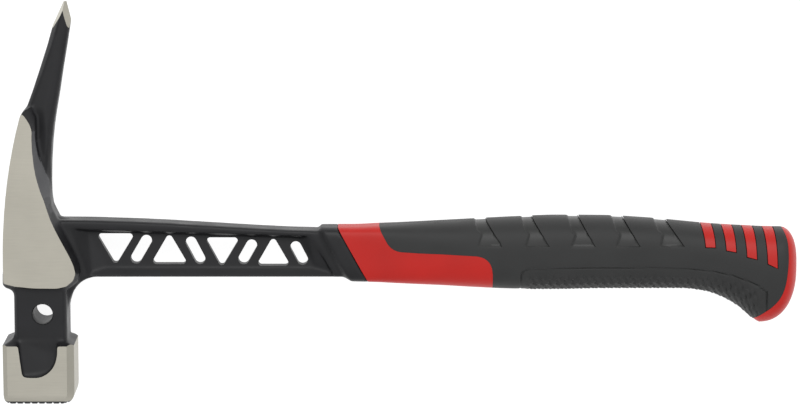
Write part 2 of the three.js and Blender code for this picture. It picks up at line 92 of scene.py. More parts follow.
@dataclass(frozen=True)
class Drawing:
    """The hammer's drawing and the handle's leaning lines.

    Attributes:
        front: Where the front of the poll is, in metres.
        face: Where the striking face is, in metres.
        middle: Where the middle plane of the thickness is, in metres.
        length: Overall length, in millimetres.
        axis_up: Height of the handle's axis over the striking face, in millimetres.
        joint_along: Where the grip's joint line crosses the axis, in millimetres.
        slant: Lean of the joint line from upright, in radians.
    """

    front: float
    face: float
    middle: float
    length: float
    axis_up: float = 62.0
    joint_along: float = 145.5
    slant: float = math.radians(29.0)

    @classmethod
    def of_frame(cls) -> "Drawing":
        """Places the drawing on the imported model's box."""
        low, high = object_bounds()
        return cls(low[0], low[1], (low[2] + high[2]) / 2, (high[0] - low[0]) / MM)

    def place(self, along: float, up: float, out: float) -> Vector:
        """A point of the drawing, in metres in the shared frame."""
        return Vector((self.front + along * MM, self.face + up * MM, self.middle + out * MM))

    def read(self, place: Vector) -> Point3:
        """Where a place in the shared frame is on the drawing."""
        return (place.x - self.front) / MM, (place.y - self.face) / MM, (place.z - self.middle) / MM

    def leaning(self, along: float, up: float) -> float:
        """Where a leaning line is at a height, from where it crosses the axis."""
        return along + (self.axis_up - up) * math.tan(self.slant)


# ---- the bench: operators that make and shape solids --------------------------------------


@dataclass(frozen=True)
class Bench:
    """Makes solids on the drawing with Blender's operators, and works on them.

    Attributes:
        drawing: The drawing that every point is given on.
    """

    drawing: Drawing

    @staticmethod
    def pick(piece: Object) -> Object:
        """Selects one object alone and makes it active.

        Args:
            piece: The object.

        Returns:
            The same object.
        """
        bpy.ops.object.select_all(action="DESELECT")
        piece.select_set(True)
        bpy.context.view_layer.objects.active = piece
        return piece

    def skin(self, name: str, rings: Sequence[Sequence[Point3]]) -> Object:
        """Stretches a grid over rings of points and closes it into a solid.

        Args:
            name: Name of the new object.
            rings: Rings with the same number of points, each point given on the drawing.

        Returns:
            The closed solid.
        """
        columns = len(rings[0])
        bpy.ops.object.select_all(action="DESELECT")
        bpy.ops.mesh.primitive_grid_add(x_subdivisions=columns, y_subdivisions=len(rings) - 1, size=1)
        solid = bpy.context.object
        solid.name = name
        places = [self.drawing.place(*point) for ring in rings for point in (*ring, ring[0])]
        solid.data.vertices.foreach_set("co", [value for place in places for value in place])
        bpy.ops.object.mode_set(mode="EDIT")
        bpy.ops.mesh.select_all(action="SELECT")
        bpy.ops.mesh.remove_doubles(threshold=1e-7)
        bpy.ops.mesh.fill_holes(sides=0)
        bpy.ops.mesh.select_all(action="SELECT")
        bpy.ops.mesh.normals_make_consistent(inside=False)
        bpy.ops.object.mode_set(mode="OBJECT")
        return solid

    def prism(self, name: str, outline: Sequence[Point2], low: float, high: float) -> Object:
        """A solid of an outline, from one height over the middle plane to another.

        Args:
            name: Name of the new object.
            outline: The outline, as (along, up) points.
            low: Height of one end.
            high: Height of the other end.

        Returns:
            The closed solid.
        """
        return self.skin(name, [[(a, u, low) for a, u in outline], [(a, u, high) for a, u in outline]])

    def block(self, name: str, low: Point3, high: Point3) -> Object:
        """A rectangular block between two corners.

        Args:
            name: Name of the new object.
            low: Corner with the smallest values.
            high: Corner with the largest values.

        Returns:
            The closed solid.
        """
        outline = [(low[0], low[1]), (high[0], low[1]), (high[0], high[1]), (low[0], high[1])]
        return self.prism(name, outline, low[2], high[2])

    def bevel(self, piece: Object, width: float, segments: int = 2, angle: float = 35.0) -> Object:
        """Rounds every edge of a piece that is sharper than an angle.

        Args:
            piece: The solid to round.
            width: Width of the rounding, in millimetres.
            segments: How many flats make it up.
            angle: The turn from which an edge is rounded, in degrees.

        Returns:
            The same piece.
        """
        modifier = self.pick(piece).modifiers.new("round_edges", "BEVEL")
        modifier.width = width * MM
        modifier.segments = segments
        modifier.limit_method = "ANGLE"
        modifier.angle_limit = math.radians(angle)
        bpy.ops.object.modifier_apply(modifier=modifier.name)
        return piece

    def work(self, piece: Object, tools: Sequence[Object], cut: Cut) -> Object:
        """Joins, removes or keeps what several solids share with a piece, and uses them up.

        Args:
            piece: The solid that is worked on.
            tools: The solids that work on it, one after the other.
            cut: What they do.

        Returns:
            The same piece.
        """
        for tool in tools:
            modifier = self.pick(piece).modifiers.new(cut.name.lower(), "BOOLEAN")
            modifier.operation = cut.value
            modifier.object = tool
            modifier.solver = "MANIFOLD"
            modifier.material_mode = "TRANSFER"
            bpy.ops.object.modifier_apply(modifier=modifier.name)
            bpy.data.objects.remove(tool)
        return piece

    def forge(self, piece: Object, voxel: float, passes: int, strength: float = 0.5) -> Object:
        """Melts a piece into one even mesh and softens it, as a hammer die leaves it.

        Args:
            piece: The solid to soften.
            voxel: Size of the even mesh's cells, in millimetres.
            passes: How many times the mesh is smoothed.
            strength: How far each pass goes.

        Returns:
            The same piece.
        """
        remesh = self.pick(piece).modifiers.new("even_mesh", "REMESH")
        remesh.mode = "VOXEL"
        remesh.voxel_size = voxel * MM
        bpy.ops.object.modifier_apply(modifier=remesh.name)
        smooth = piece.modifiers.new("soften", "SMOOTH")
        smooth.factor = strength
        smooth.iterations = passes
        bpy.ops.object.modifier_apply(modifier=smooth.name)
        return piece

    def dress(self, piece: Object, *materials: Material) -> Object:
        """Gives a piece its material slots.

        Args:
            piece: The piece to dress.
            *materials: Its finishes, in the order of their slots.

        Returns:
            The same piece.
        """
        piece.data.materials.clear()
        for material in materials:
            piece.data.materials.append(material)
        return piece

    def finish(self, piece: Object, angle: float = 30.0) -> Object:
        """Shades a piece smooth, with crisp edges where it turns or its finish changes.

        Args:
            piece: The piece to shade.
            angle: The turn from which an edge is crisp, in degrees.

        Returns:
            The same piece.
        """
        self.pick(piece)
        bpy.ops.object.shade_smooth_by_angle(angle=math.radians(angle))
        mesh = bmesh.new()
        mesh.from_mesh(piece.data)
        for edge in mesh.edges:
            finishes = {face.material_index for face in edge.link_faces}
            if len(finishes) > 1:
                edge.smooth = False
        mesh.to_mesh(piece.data)
        mesh.free()
        return piece

    def release(self, piece: Object, node: str, slot: str) -> Object:
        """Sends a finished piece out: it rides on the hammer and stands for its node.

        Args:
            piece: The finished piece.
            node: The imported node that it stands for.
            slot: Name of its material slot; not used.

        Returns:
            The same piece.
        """
        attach(piece, BODY)
        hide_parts(node)
        log.info("%s: %d faces, for %s", piece.name, len(piece.data.polygons), node)
        return piece


def arc(centre: Point2, radius: float, start: float, end: float, steps: int = 6) -> list[Point2]:
    """Points on a round stretch, between two angles in degrees.

    Args:
        centre: Centre of the arc.
        radius: Its radius.
        start: Angle of its first point.
        end: Angle of its last point.
        steps: How many stretches it has.

    Returns:
        The points, both ends included.
    """
    angles = [math.radians(start + (end - start) * i / steps) for i in range(steps + 1)]
    return [(centre[0] + radius * math.cos(a), centre[1] + radius * math.sin(a)) for a in angles]


def circle(centre: Point2, radius: float) -> list[Point2]:
    """Points once round a circle, without the first one again."""
    return arc(centre, radius, 0.0, 351.428, 40)


def bow(start: Point2, pull: Point2, end: Point2, steps: int = 8) -> list[Point2]:
    """Points on a curve from start to end, drawn towards a third point.

    Args:
        start: First point.
        pull: The point that draws the curve out.
        end: Last point.
        steps: How many stretches it has.

    Returns:
        The points, both ends included.
    """
    points = []
    for i in range(steps + 1):
        t = i / steps
        weights = ((1 - t) ** 2, 2 * t * (1 - t), t * t)
        points.append(tuple(sum(w * p[axis] for w, p in zip(weights, (start, pull, end))) for axis in (0, 1)))
    return points


def through(points: Sequence[Point2], steps: int = 6) -> list[Point2]:
    """Points on a smooth curve through given points.

    Args:
        points: The points it goes through.
        steps: How many stretches lie between two of them.

    Returns:
        The points of the curve, both ends included.
    """
    padded = [points[0], *points, points[-1]]
    curve = []
    for before, start, end, after in zip(padded, padded[1:], padded[2:], padded[3:]):
        for i in range(steps):
            t = i / steps
            curve.append(tuple(
                0.5 * (2 * s + (e - b) * t + (2 * b - 5 * s + 4 * e - a) * t**2
                       + (3 * s - b - 3 * e + a) * t**3)
                for b, s, e, a in zip(before, start, end, after)
            ))
    return [*curve, points[-1]]


def eased(value: np.ndarray, low: float, high: float) -> np.ndarray:
    """Rises smoothly from 0 at low to 1 at high."""
    share = np.clip((value - low) / (high - low), 0.0, 1.0)
    return share * share * (3 - 2 * share)


# ---- finishes -----------------------------------------------------------------------------


@dataclass
class Recipe:
    """A material being built: its node tree and its main shader.

    Attributes:
        name: The material's name.
        material: The material itself.
        shader: Its Principled shader.
        coordinates: The Object coordinates that every pattern reads.
    """

    name: str
    material: Material = field(init=False)
    shader: Node = field(init=False)
    coordinates: NodeSocket = field(init=False)

    def __post_init__(self) -> None:
        """Makes the material with one Principled shader and Object coordinates."""
        self.material = bpy.data.materials.new(self.name)
        self.material.use_nodes = True
        self.shader = self.material.node_tree.nodes["Principled BSDF"]
        self.coordinates = self.node("ShaderNodeTexCoord").outputs["Object"]

    def node(self, kind: str, **settings: object) -> Node:
        """Adds a node and sets its plain properties.

        Args:
            kind: The node's type.
            **settings: Its properties, by name.

        Returns:
            The new node.
        """
        node = self.material.node_tree.nodes.new(kind)
        for key, value in settings.items():
            setattr(node, key, value)
        return node

    def link(self, source: NodeSocket, target: NodeSocket) -> None:
        """Links two sockets."""
        self.material.node_tree.links.new(source, target)

    def set(self, **values: object) -> None:
        """Sets the shader's own sockets, by name with underscores for spaces."""
        for key, value in values.items():
            self.shader.inputs[key.replace("_", " ")].default_value = value

    def noise(self, scale: float, detail: float = 3.0, stretch: Point3 = (1.0, 1.0, 1.0)) -> NodeSocket:
        """Noise over the object, whose grain may be drawn out along one direction.

        Args:
            scale: How fine the noise is.
            detail: How many finer layers it has.
            stretch: What each coordinate is multiplied by; the grain runs along the smallest.

        Returns:
            The noise, from 0 to 1.
        """
        mapping = self.node("ShaderNodeMapping")
        mapping.inputs["Scale"].default_value = stretch
        self.link(self.coordinates, mapping.inputs["Vector"])
        noise = self.node("ShaderNodeTexNoise")
        noise.inputs["Scale"].default_value = scale
        noise.inputs["Detail"].default_value = detail
        self.link(mapping.outputs["Vector"], noise.inputs["Vector"])
        return noise.outputs["Fac"]

    def cells(self, scale: float) -> NodeSocket:
        """Distance to the nearest of many scattered points, for a moulded grain.

        Args:
            scale: How close together the points are.

        Returns:
            The distance.
        """
        voronoi = self.node("ShaderNodeTexVoronoi")
        voronoi.inputs["Scale"].default_value = scale
        self.link(self.coordinates, voronoi.inputs["Vector"])
        return voronoi.outputs["Distance"]

    def ramp(self, source: NodeSocket, low: object, high: object, span: Point2 = (0.0, 1.0)) -> NodeSocket:
        """A blend from one colour or value to another as the source rises over a span.

        Args:
            source: What drives the blend.
            low: Colour or value at the span's start.
            high: Colour or value at its end.
            span: Where the source starts and ends the blend.

        Returns:
            The blend.
        """
        ramp = self.node("ShaderNodeValToRGB")
        for stop, value, place in zip(ramp.color_ramp.elements, (low, high), span):
            stop.color = (value, value, value, 1.0) if isinstance(value, float) else (*value, 1.0)
            stop.position = place
        self.link(source, ramp.inputs["Fac"])
        return ramp.outputs["Color"]

    def mottle(
        self, source: NodeSocket, colour: Point3, shares: Point2, span: Point2 = (0.3, 0.7)
    ) -> NodeSocket:
        """A colour that wanders between two shares of itself as the source rises over a span.

        Args:
            source: What drives the colour.
            colour: The colour itself.
            shares: Its darkest and its lightest share.
            span: Where the source starts and ends the blend.

        Returns:
            The mottled colour.
        """
        low, high = (tuple(min(1.0, share * value) for value in colour) for share in shares)
        return self.ramp(source, low, high, span)

    def feed(self, name: str, source: NodeSocket) -> None:
        """Links a source to one of the shader's own sockets."""
        self.link(source, self.shader.inputs[name])

    def bump(
        self, height: NodeSocket, strength: float, distance: float, under: NodeSocket | None = None
    ) -> NodeSocket:
        """A bump from a height, on top of another bump if one is given.

        Args:
            height: The height, from 0 to 1.
            strength: How strongly it shows.
            distance: How high it stands, in millimetres.
            under: The bump under it, if any.

        Returns:
            The bumped normal.
        """
        bump = self.node("ShaderNodeBump")
        bump.inputs["Strength"].default_value = strength
        bump.inputs["Distance"].default_value = distance * MM
        self.link(height, bump.inputs["Height"])
        if under is not None:
            self.link(under, bump.inputs["Normal"])
        return bump.outputs["Normal"]


@dataclass(frozen=True)
class Lacquer:
    """Black stoving lacquer over forged steel: nearly smooth, with the forging's skin under it.

    Attributes:
        name: The material's name.
        colour: Its mean colour.
        roughness: Its roughness where it is glossiest and where it is dullest.
    """

    name: str = "black_lacquer"
    colour: Point3 = (0.0095, 0.0093, 0.0105)
    roughness: Point2 = (0.38, 0.52)

    def build(self) -> Material:
        """Builds the material.

        Returns:
            The new material.
        """
        recipe = Recipe(self.name)
        recipe.set(Specular_IOR_Level=0.36)
        patches = recipe.noise(90.0, 4.0)
        recipe.feed("Base Color", recipe.mottle(patches, self.colour, (0.8, 1.35), (0.35, 0.7)))
        recipe.feed("Roughness", recipe.ramp(patches, *self.roughness, (0.3, 0.7)))
        skin = recipe.bump(recipe.noise(420.0, 2.0), 0.25, 0.12)
        peel = recipe.bump(recipe.noise(1500.0, 2.0), 0.12, 0.03, skin)
        recipe.feed("Normal", peel)
        return recipe.material


@dataclass(frozen=True)
class GroundSteel:
    """Bare steel from a grinding belt: satin, with fine lines that run the way of the handle.

    Attributes:
        name: The material's name.
        colour: Its mean colour.
        roughness: Its roughness where it is glossiest and where it is dullest.
        lines: What each coordinate is multiplied by; the lines run along the smallest.
        depth: How deep the lines are, in millimetres.
    """

    name: str = "ground_steel"
    colour: Point3 = (0.515, 0.488, 0.418)
    roughness: Point2 = (0.36, 0.5)
    lines: Point3 = (1.0, 30.0, 30.0)
    depth: float = 0.02

    def build(self) -> Material:
        """Builds the material.

        Returns:
            The new material.
        """
        recipe = Recipe(self.name)
        recipe.set(Metallic=1.0)
        lines = recipe.noise(110.0, 5.0, self.lines)
        clouds = recipe.noise(60.0, 3.0)
        shade = recipe.node("ShaderNodeMix", data_type="RGBA")
        shade.inputs["Factor"].default_value = 0.45
        # a Mix node's sockets 6 and 7 take the two colours, and its output 2 is their blend
        for socket, source in ((6, lines), (7, clouds)):
            recipe.link(recipe.mottle(source, self.colour, (0.9, 1.06)), shade.inputs[socket])
        recipe.feed("Base Color", shade.outputs[2])
        recipe.feed("Roughness", recipe.ramp(lines, *self.roughness, (0.25, 0.75)))
        recipe.feed("Normal", recipe.bump(lines, 0.35, self.depth))
        return recipe.material


@dataclass(frozen=True)
class Rubber:
    """Soft-touch black moulding, with a fine grain where the mould was etched.

    Attributes:
        name: The material's name.
        colour: Its mean colour.
        roughness: Its roughness where it is glossiest and where it is dullest.
        grain: How strongly the grain shows.
    """

    name: str = "grip_rubber"
    colour: Point3 = (0.0285, 0.0285, 0.028)
    roughness: Point2 = (0.5, 0.62)
    grain: float = 0.35

    def build(self) -> Material:
        """Builds the material.

        Returns:
            The new material.
        """
        recipe = Recipe(self.name)
        recipe.set(Specular_IOR_Level=0.33)
        dust = recipe.noise(55.0, 4.0)
        recipe.feed("Base Color", recipe.mottle(dust, self.colour, (0.88, 1.15)))
        recipe.feed("Roughness", recipe.ramp(dust, *self.roughness, (0.3, 0.7)))
        grain = recipe.bump(recipe.cells(2600.0), self.grain, 0.06)
        soft = recipe.bump(recipe.noise(700.0, 2.0), 0.1, 0.05, grain)
        recipe.feed("Normal", soft)
        return recipe.material


@dataclass(frozen=True)
class RedPlastic:
    """Red moulded plastic, satin, with a faint unevenness of the mould.

    Attributes:
        colour: Its mean colour.
        roughness: Its roughness where it is glossiest and where it is dullest.
    """

    colour: Point3 = (0.51, 0.0108, 0.0062)
    roughness: Point2 = (0.4, 0.48)

    def build(self) -> Material:
        """Builds the material.

        Returns:
            The new material.
        """
        recipe = Recipe("red_plastic")
        recipe.set(Specular_IOR_Level=0.33)
        clouds = recipe.noise(45.0, 3.0)
        recipe.feed("Base Color", recipe.mottle(clouds, self.colour, (0.93, 1.07)))
        recipe.feed("Roughness", recipe.ramp(clouds, *self.roughness, (0.3, 0.7)))
        recipe.feed("Normal", recipe.bump(recipe.cells(1900.0), 0.12, 0.04))
        return recipe.material


@dataclass(frozen=True)
class LightTable:
    """The pale floor: a light table of white glass, which keeps shadows away.

    Attributes:
        colour: The glass's colour.
        glow: How bright the light under it is.
    """

    colour: Point3 = (0.32, 0.32, 0.32)
    glow: float = 0.9

    def build(self) -> Material:
        """Builds the material.

        Returns:
            The new material.
        """
        recipe = Recipe("light_table")
        recipe.set(Roughness=0.8, Specular_IOR_Level=0.1)
        recipe.set(Emission_Color=(1.0, 1.0, 1.0, 1.0), Emission_Strength=self.glow)
        haze = recipe.noise(200.0, 3.0)
        recipe.feed("Base Color", recipe.mottle(haze, self.colour, (0.99, 1.0), (0.0, 1.0)))
        return recipe.material


@dataclass(frozen=True)
class Finishes:
    """The finishes that the hammer's pieces share.

    Attributes:
        lacquer: The forging's black lacquer.
        worn_lacquer: Lacquer painted lighter on the low slopes behind the cheeks, as painted light where they
            face the light.
        thin_lacquer: Lacquer painted lighter still on the high slopes behind the cheeks, as painted light
            where they face the light.
        ground: Ground steel on the poll and the cheeks.
        ground_side: Ground steel on the poll's sides and the back of the tip, painted a little darker as
            painted shade where they turn away from the light.
        polished: The front of the tip.
        magnet: The nail magnet's plating.
        core: The hard plastic inside the grip.
        rubber: The grip's black skin.
        smooth_rubber: The floors of the recesses in the skin.
        red: The red pieces.
    """

    lacquer: Material
    worn_lacquer: Material
    thin_lacquer: Material
    ground: Material
    ground_side: Material
    polished: Material
    magnet: Material
    core: Material
    rubber: Material
    smooth_rubber: Material
    red: Material

    @classmethod
    def build(cls) -> "Finishes":
        """Builds every finish once."""
        return cls(
            lacquer=Lacquer().build(),
            # lighter copies of the lacquer: painted light on the slopes behind the cheeks that face the light
            worn_lacquer=Lacquer("worn_lacquer", (0.03, 0.03, 0.032), (0.34, 0.46)).build(),
            thin_lacquer=Lacquer("thin_lacquer", (0.05, 0.05, 0.053), (0.32, 0.42)).build(),
            ground=GroundSteel().build(),
            # a darker copy of the ground steel: painted shade on faces that turn away from the light
            ground_side=GroundSteel("ground_side", (0.39, 0.372, 0.318)).build(),
            polished=GroundSteel(
                "polished_steel", (0.5, 0.48, 0.415), (0.26, 0.36), (1.0, 14.0, 1.0), 0.01
            ).build(),
            magnet=GroundSteel(
                "magnet_nickel", (0.62, 0.61, 0.58), (0.18, 0.3), (1.0, 1.0, 1.0), 0.005
            ).build(),
            core=Rubber("core_plastic", (0.03, 0.03, 0.03), (0.4, 0.5), 0.1).build(),
            rubber=Rubber().build(),
            smooth_rubber=Rubber("smooth_rubber", (0.031, 0.031, 0.03), (0.34, 0.42), 0.05).build(),
            red=RedPlastic().build(),
        )


# ---- the grip's form ----------------------------------------------------------------------


@dataclass(frozen=True)
class GripForm:
    """The grip's outer form, which its pieces and the bolster share.

    Attributes:
        drawing: The hammer's drawing.
        sections: For each share of the way along the grip: the height of its back over the
            axis, the depth of its belly under the axis, half its thickness, and how square it
            is, where 2 is an ellipse.
        top_corner: Length over which the back closes at the butt.
        heel_corner: Length over which the belly closes at the butt.
        side_corner: Length over which the sides close at the butt.
        drop: How far the butt's centre is under the axis.
        roundness: How near to a full curve the butt closes.
        top_fullness: How full the back and the sides close, where 2 is an ellipse.
        heel_fullness: How full the belly closes.
    """

    drawing: Drawing
    sections: tuple[tuple[float, float, float, float, float], ...] = (
        (-0.12, 11.0, 11.6, 8.2, 5.4),
        (0.0, 11.0, 12.0, 8.6, 5.2),
        (0.05, 11.4, 12.2, 9.2, 4.7),
        (0.11, 11.95, 12.85, 10.2, 3.7),
        (0.2, 12.9, 13.7, 11.5, 3.0),
        (0.28, 13.75, 14.6, 12.3, 2.7),
        (0.37, 14.6, 15.25, 12.9, 2.6),
        (0.46, 15.2, 15.2, 13.2, 2.6),
        (0.56, 15.1, 14.85, 13.1, 2.6),
        (0.66, 14.15, 14.8, 12.8, 2.6),
        (0.74, 12.8, 14.8, 12.6, 2.6),
        (0.79, 11.9, 15.8, 12.7, 2.6),
        (0.83, 11.35, 18.2, 12.9, 2.6),
        (0.87, 10.9, 22.4, 13.3, 2.7),
        (0.9, 10.6, 27.1, 13.7, 2.8),
        (0.92, 10.4, 29.3, 14.0, 2.8),
        (1.0, 10.2, 30.5, 14.0, 2.8),
    )
    top_corner: float = 7.5
    heel_corner: float = 15.3
    side_corner: float = 8.0
    drop: float = 5.0
    roundness: float = 0.985
    top_fullness: float = 2.6
    heel_fullness: float = 2.24

    @property
    def end(self) -> float:
        """The end of the butt, on the drawing."""
        return self.drawing.length

    def measure(self, index: int, along: float) -> float:
        """One measure of the section at a place, on a curve that never swings past a value.

        Args:
            index: Column of the sections: 1 back, 2 belly, 3 half thickness, 4 squareness.
            along: The place, on the drawing.

        Returns:
            The measure there.
        """
        rows = np.array(self.sections)
        places, values = rows[:, 0], rows[:, index]
        share = (along - self.drawing.joint_along) / (self.end - self.drawing.joint_along)
        share = float(np.clip(share, places[0], places[-1] - 1e-9))
        here = int(np.searchsorted(places, share, side="right")) - 1
        steep = np.diff(values) / np.diff(places)

        def slope(i: int) -> float:
            """Slope of the curve at one row.

            Args:
                i: The row.

            Returns:
                The slope, 0 at a high or low point.
            """
            if i == 0 or i == len(values) - 1 or steep[i - 1] * steep[i] <= 0:
                return 0.0
            return 2 * steep[i - 1] * steep[i] / (steep[i - 1] + steep[i])

        span = places[here + 1] - places[here]
        t = (share - places[here]) / span
        rise = t * t * (3 - 2 * t)
        pull = slope(here) * span * t * (1 - t) ** 2 - slope(here + 1) * span * t * t * (1 - t)
        return float(values[here] * (1 - rise) + values[here + 1] * rise + pull)

    def ring(self, along: float, inset: float, around: int) -> np.ndarray:
        """Evenly spaced points round the section at one place.

        Args:
            along: Where the section is, on the drawing.
            inset: How far the surface is taken in.
            around: How many points the ring has.

        Returns:
            An array of (up, out) rows that starts and ends at the belly.
        """
        axis = self.drawing.axis_up
        centre = axis - self.drop

        def closed(index: int, corner: float) -> float:
            """A measure from the butt's centre, closed towards the end of the butt.

            Args:
                index: Column of the sections.
                corner: Length over which it closes.

            Returns:
                The closed measure.
            """
            value = self.measure(index, min(along, self.end - corner))
            value += {1: self.drop, 2: -self.drop, 3: 0.0}[index] - inset
            depth = max(0.0, along - (self.end - corner)) / (corner - inset)
            fullness = self.heel_fullness if index == 2 else self.top_fullness
            closing = max(0.0, 1 - (self.roundness * depth) ** fullness)
            return value * closing ** (1 / fullness)

        top = centre + closed(1, self.top_corner)
        bottom = centre - closed(2, self.heel_corner)
        half = closed(3, self.side_corner)
        power = 2 / self.measure(4, along)
        fine = 721
        angle = np.linspace(-math.pi, math.pi, fine)
        up = (top + bottom) / 2 + (top - bottom) / 2 * np.sign(np.cos(angle)) * np.abs(np.cos(angle)) ** power
        out = half * np.sign(np.sin(angle)) * np.abs(np.sin(angle)) ** power
        run = np.concatenate([[0.0], np.cumsum(np.hypot(np.diff(up), np.diff(out)))])
        even = np.linspace(0.0, run[-1], around, endpoint=False)
        return np.column_stack([np.interp(even, run, up), np.interp(even, run, out)])

    def stations(self, start: float, step: float, inset: float) -> list[float]:
        """Places along the grip, closer together where the butt closes.

        Args:
            start: The first place.
            step: Distance between two of them.
            inset: How far the surface is taken in.

        Returns:
            The places, on the drawing.
        """
        heel = self.end - self.heel_corner
        straight = list(np.arange(start, heel, step))
        turns = np.linspace(0.0, math.pi / 2, max(8, int(30 / step)))
        return [*straight, *[heel + math.sin(turn) * (self.heel_corner - inset) for turn in turns]]

    def solid(
        self,
        bench: Bench,
        name: str,
        span: Point2,
        step: float,
        around: int,
        inset: float = 0.0,
        relief: Callable[[float, np.ndarray], np.ndarray] | None = None,
    ) -> Object:
        """A solid of the grip's form.

        Args:
            bench: The bench that makes it.
            name: Name of the new object.
            span: Where it starts and ends, on the drawing.
            step: Distance between its rings.
            around: How many points each ring has.
            inset: How far its surface is taken in.
            relief: Height of the moulded detail over the surface, for a ring of (up, out) rows.

        Returns:
            The closed solid.
        """
        rings = []
        for along in self.stations(span[0], step, inset):
            if along > span[1]:
                break
            ring = self.ring(along, inset, around)
            if relief is not None:
                tangent = np.roll(ring, -1, axis=0) - np.roll(ring, 1, axis=0)
                tangent /= np.maximum(np.linalg.norm(tangent, axis=1, keepdims=True), 1e-9)
                outward = np.column_stack([-tangent[:, 1], tangent[:, 0]])
                outward *= np.sign(np.sum(outward * (ring - ring.mean(axis=0)), axis=1, keepdims=True))
                ring = ring + outward * relief(along, ring)[:, None]
            rings.append([(along, up, out) for up, out in ring])
        return bench.skin(name, rings)


# ---- the forging --------------------------------------------------------------------------


@dataclass
class Forging:
    """The head, shank, bolster and tang: one steel forging, lacquered and then ground.

    Attributes:
        bench: The bench that makes it.
        form: The grip's form, which the bolster follows.
        finishes: The finishes it is dressed in.
        poll_width: Width of the poll along the handle.
        poll_half: Half the thickness of the poll.
        poll_height: Height of the poll under its shoulder.
        neck_front: Front of the neck, along the handle.
        neck_back: Back of the neck, along the handle.
        neck_half: Half the thickness of the neck.
        cheek_half: Half the thickness over the ground cheeks.
        shank_half: Half the thickness of the shank over its rails.
        shank_below: How far the shank's bottom edge is under the axis.
        shank_line: The shank's top edge, as (along, up) points.
        web_half: Half the thickness of the shank's web.
        triangles: The triangular windows: ends of the base, its height, and the apex.
        slots: The slots: centres of their round ends.
        slot_radius: Radius of the slots' ends.
        window_corner: Radius of the triangles' corners.
        hole: The round hole in the neck: along, up and radius.
        tip: Where the passes over the spike's tip would meet.
        tip_flat: Height at which the tip is cut flat.
        bolster_length: Length of the bolster along the axis.
        flute_taper: How fast the hollows beside the cheeks get deeper towards the tip.
        tooth_pitch: Distance between the rows of teeth on the striking face.
        face_height: Height up to which the poll stays black.
        slope_span: Heights between which the slopes behind the cheeks are seen.
        slope_foot: Where those slopes end along the handle, as (up, along) points.
        slope_turn: Height at which the lacquer painted lighter on the slopes turns into the lacquer painted
            lighter still.
        voxel: Size of the even mesh that the forged skin is made of.
    """

    bench: Bench
    form: GripForm
    finishes: Finishes
    poll_width: float = 29.8
    poll_half: float = 14.0
    poll_height: float = 24.0
    neck_front: float = 5.0
    neck_back: float = 26.95
    neck_half: float = 10.6
    cheek_half: float = 12.0
    shank_half: float = 6.3
    shank_below: float = 9.95
    shank_line: tuple[Point2, ...] = (
        (27.5, 76.25), (36.5, 76.0), (46.9, 75.7), (57.2, 75.35), (67.6, 74.9), (78.0, 74.25),
        (88.3, 73.65), (98.7, 73.0), (109.1, 72.4), (119.5, 71.9), (129.9, 71.6), (140.0, 71.45),
    )
    web_half: float = 1.9
    triangles: tuple[tuple[float, float, float, float, float], ...] = (
        (38.9, 55.15, 70.0, 46.8, 56.3),
        (61.5, 77.1, 57.1, 69.3, 70.4),
        (84.0, 98.75, 68.25, 91.0, 55.3),
        (105.3, 119.75, 56.4, 112.5, 68.9),
    )
    slots: tuple[tuple[float, float, float, float], ...] = (
        (59.8, 67.05, 55.45, 59.6),
        (78.35, 66.3, 81.95, 59.4),
        (103.5, 65.1, 100.2, 59.3),
        (121.9, 64.35, 124.65, 59.1),
    )
    slot_radius: float = 2.28
    window_corner: float = 1.35
    hole: Point3 = (16.9, 37.3, 4.2)
    tip: Point2 = (27.37, 167.9)
    tip_flat: float = 166.7
    bolster_length: float = 7.3
    flute_taper: float = -0.026
    tooth_pitch: float = 3.0
    face_height: float = 1.0
    slope_span: Point2 = (79.5, 113.8)
    slope_foot: tuple[Point2, ...] = (
        (80.0, 22.0), (84.0, 21.0), (88.0, 20.9), (92.0, 20.3), (96.7, 18.4), (103.7, 15.9), (111.0, 14.9),
    )
    slope_turn: float = 86.0
    voxel: float = 0.6

    @property
    def bolster_front(self) -> float:
        """Where the bolster starts, on the axis."""
        return self.bench.drawing.joint_along - self.bolster_length

    def shank_top(self, along: float) -> float:
        """Height of the shank's top edge at a place."""
        return float(np.interp(along, [a for a, _ in self.shank_line], [u for _, u in self.shank_line]))

    @property
    def shank_bottom(self) -> float:
        """Height of the shank's bottom edge."""
        return self.bench.drawing.axis_up - self.shank_below

    # -- blanks that the forged skin is melted from

    def poll_blank(self) -> Object:
        """The poll before grinding, a little over size, with its sloping shoulder.

        Returns:
            The blank.
        """
        spare = 0.9

        def ring(up: float, inset: float) -> list[Point3]:
            """A rectangle round the poll at one height.

            Args:
                up: The height.
                inset: How far it is taken in on all sides.

            Returns:
                Its corners.
            """
            front, back = inset, self.poll_width - inset
            half = self.poll_half - inset
            return [(front, up, -half), (back, up, -half), (back, up, half), (front, up, half)]

        levels = [(0.0, -spare), (self.poll_height, -spare), (self.poll_height + 0.6, 0.6),
                  (self.poll_height + 2.6, 4.2), (self.poll_height + 4.5, 4.8)]
        return self.bench.skin("poll_blank", [ring(up, inset) for up, inset in levels])

    def neck_blank(self) -> Object:
        """The neck, from inside the poll to the foot of the cheek, with the step at its front.

        Returns:
            The blank.
        """
        outline = [
            (self.neck_front, 16.0),
            *bow((self.neck_front, 44.8), (self.neck_front, 47.2), (2.4, 47.8), 5),
            (0.3, 47.9),
            (0.4, 56.0),
            (self.neck_back, 56.0),
            (self.neck_back, 16.0),
        ]
        blank = self.bench.prism("neck_blank", outline, -self.neck_half, self.neck_half)
        return self.bench.bevel(blank, 1.5, 1, 60.0)

    def cheek_blank(self) -> Object:
        """The cheeks: a thick plate whose back edge slopes down to the shank and the spike.

        Returns:
            The blank.
        """
        back_edge = through([(13.65, 113.9), (13.5, 110.0), (13.9, 102.6), (14.9, 95.6), (16.7, 89.0),
                             (18.2, 85.2), (20.8, 77.0), (24.8, 68.6), (28.4, 61.8), (30.2, 57.6)], 2)
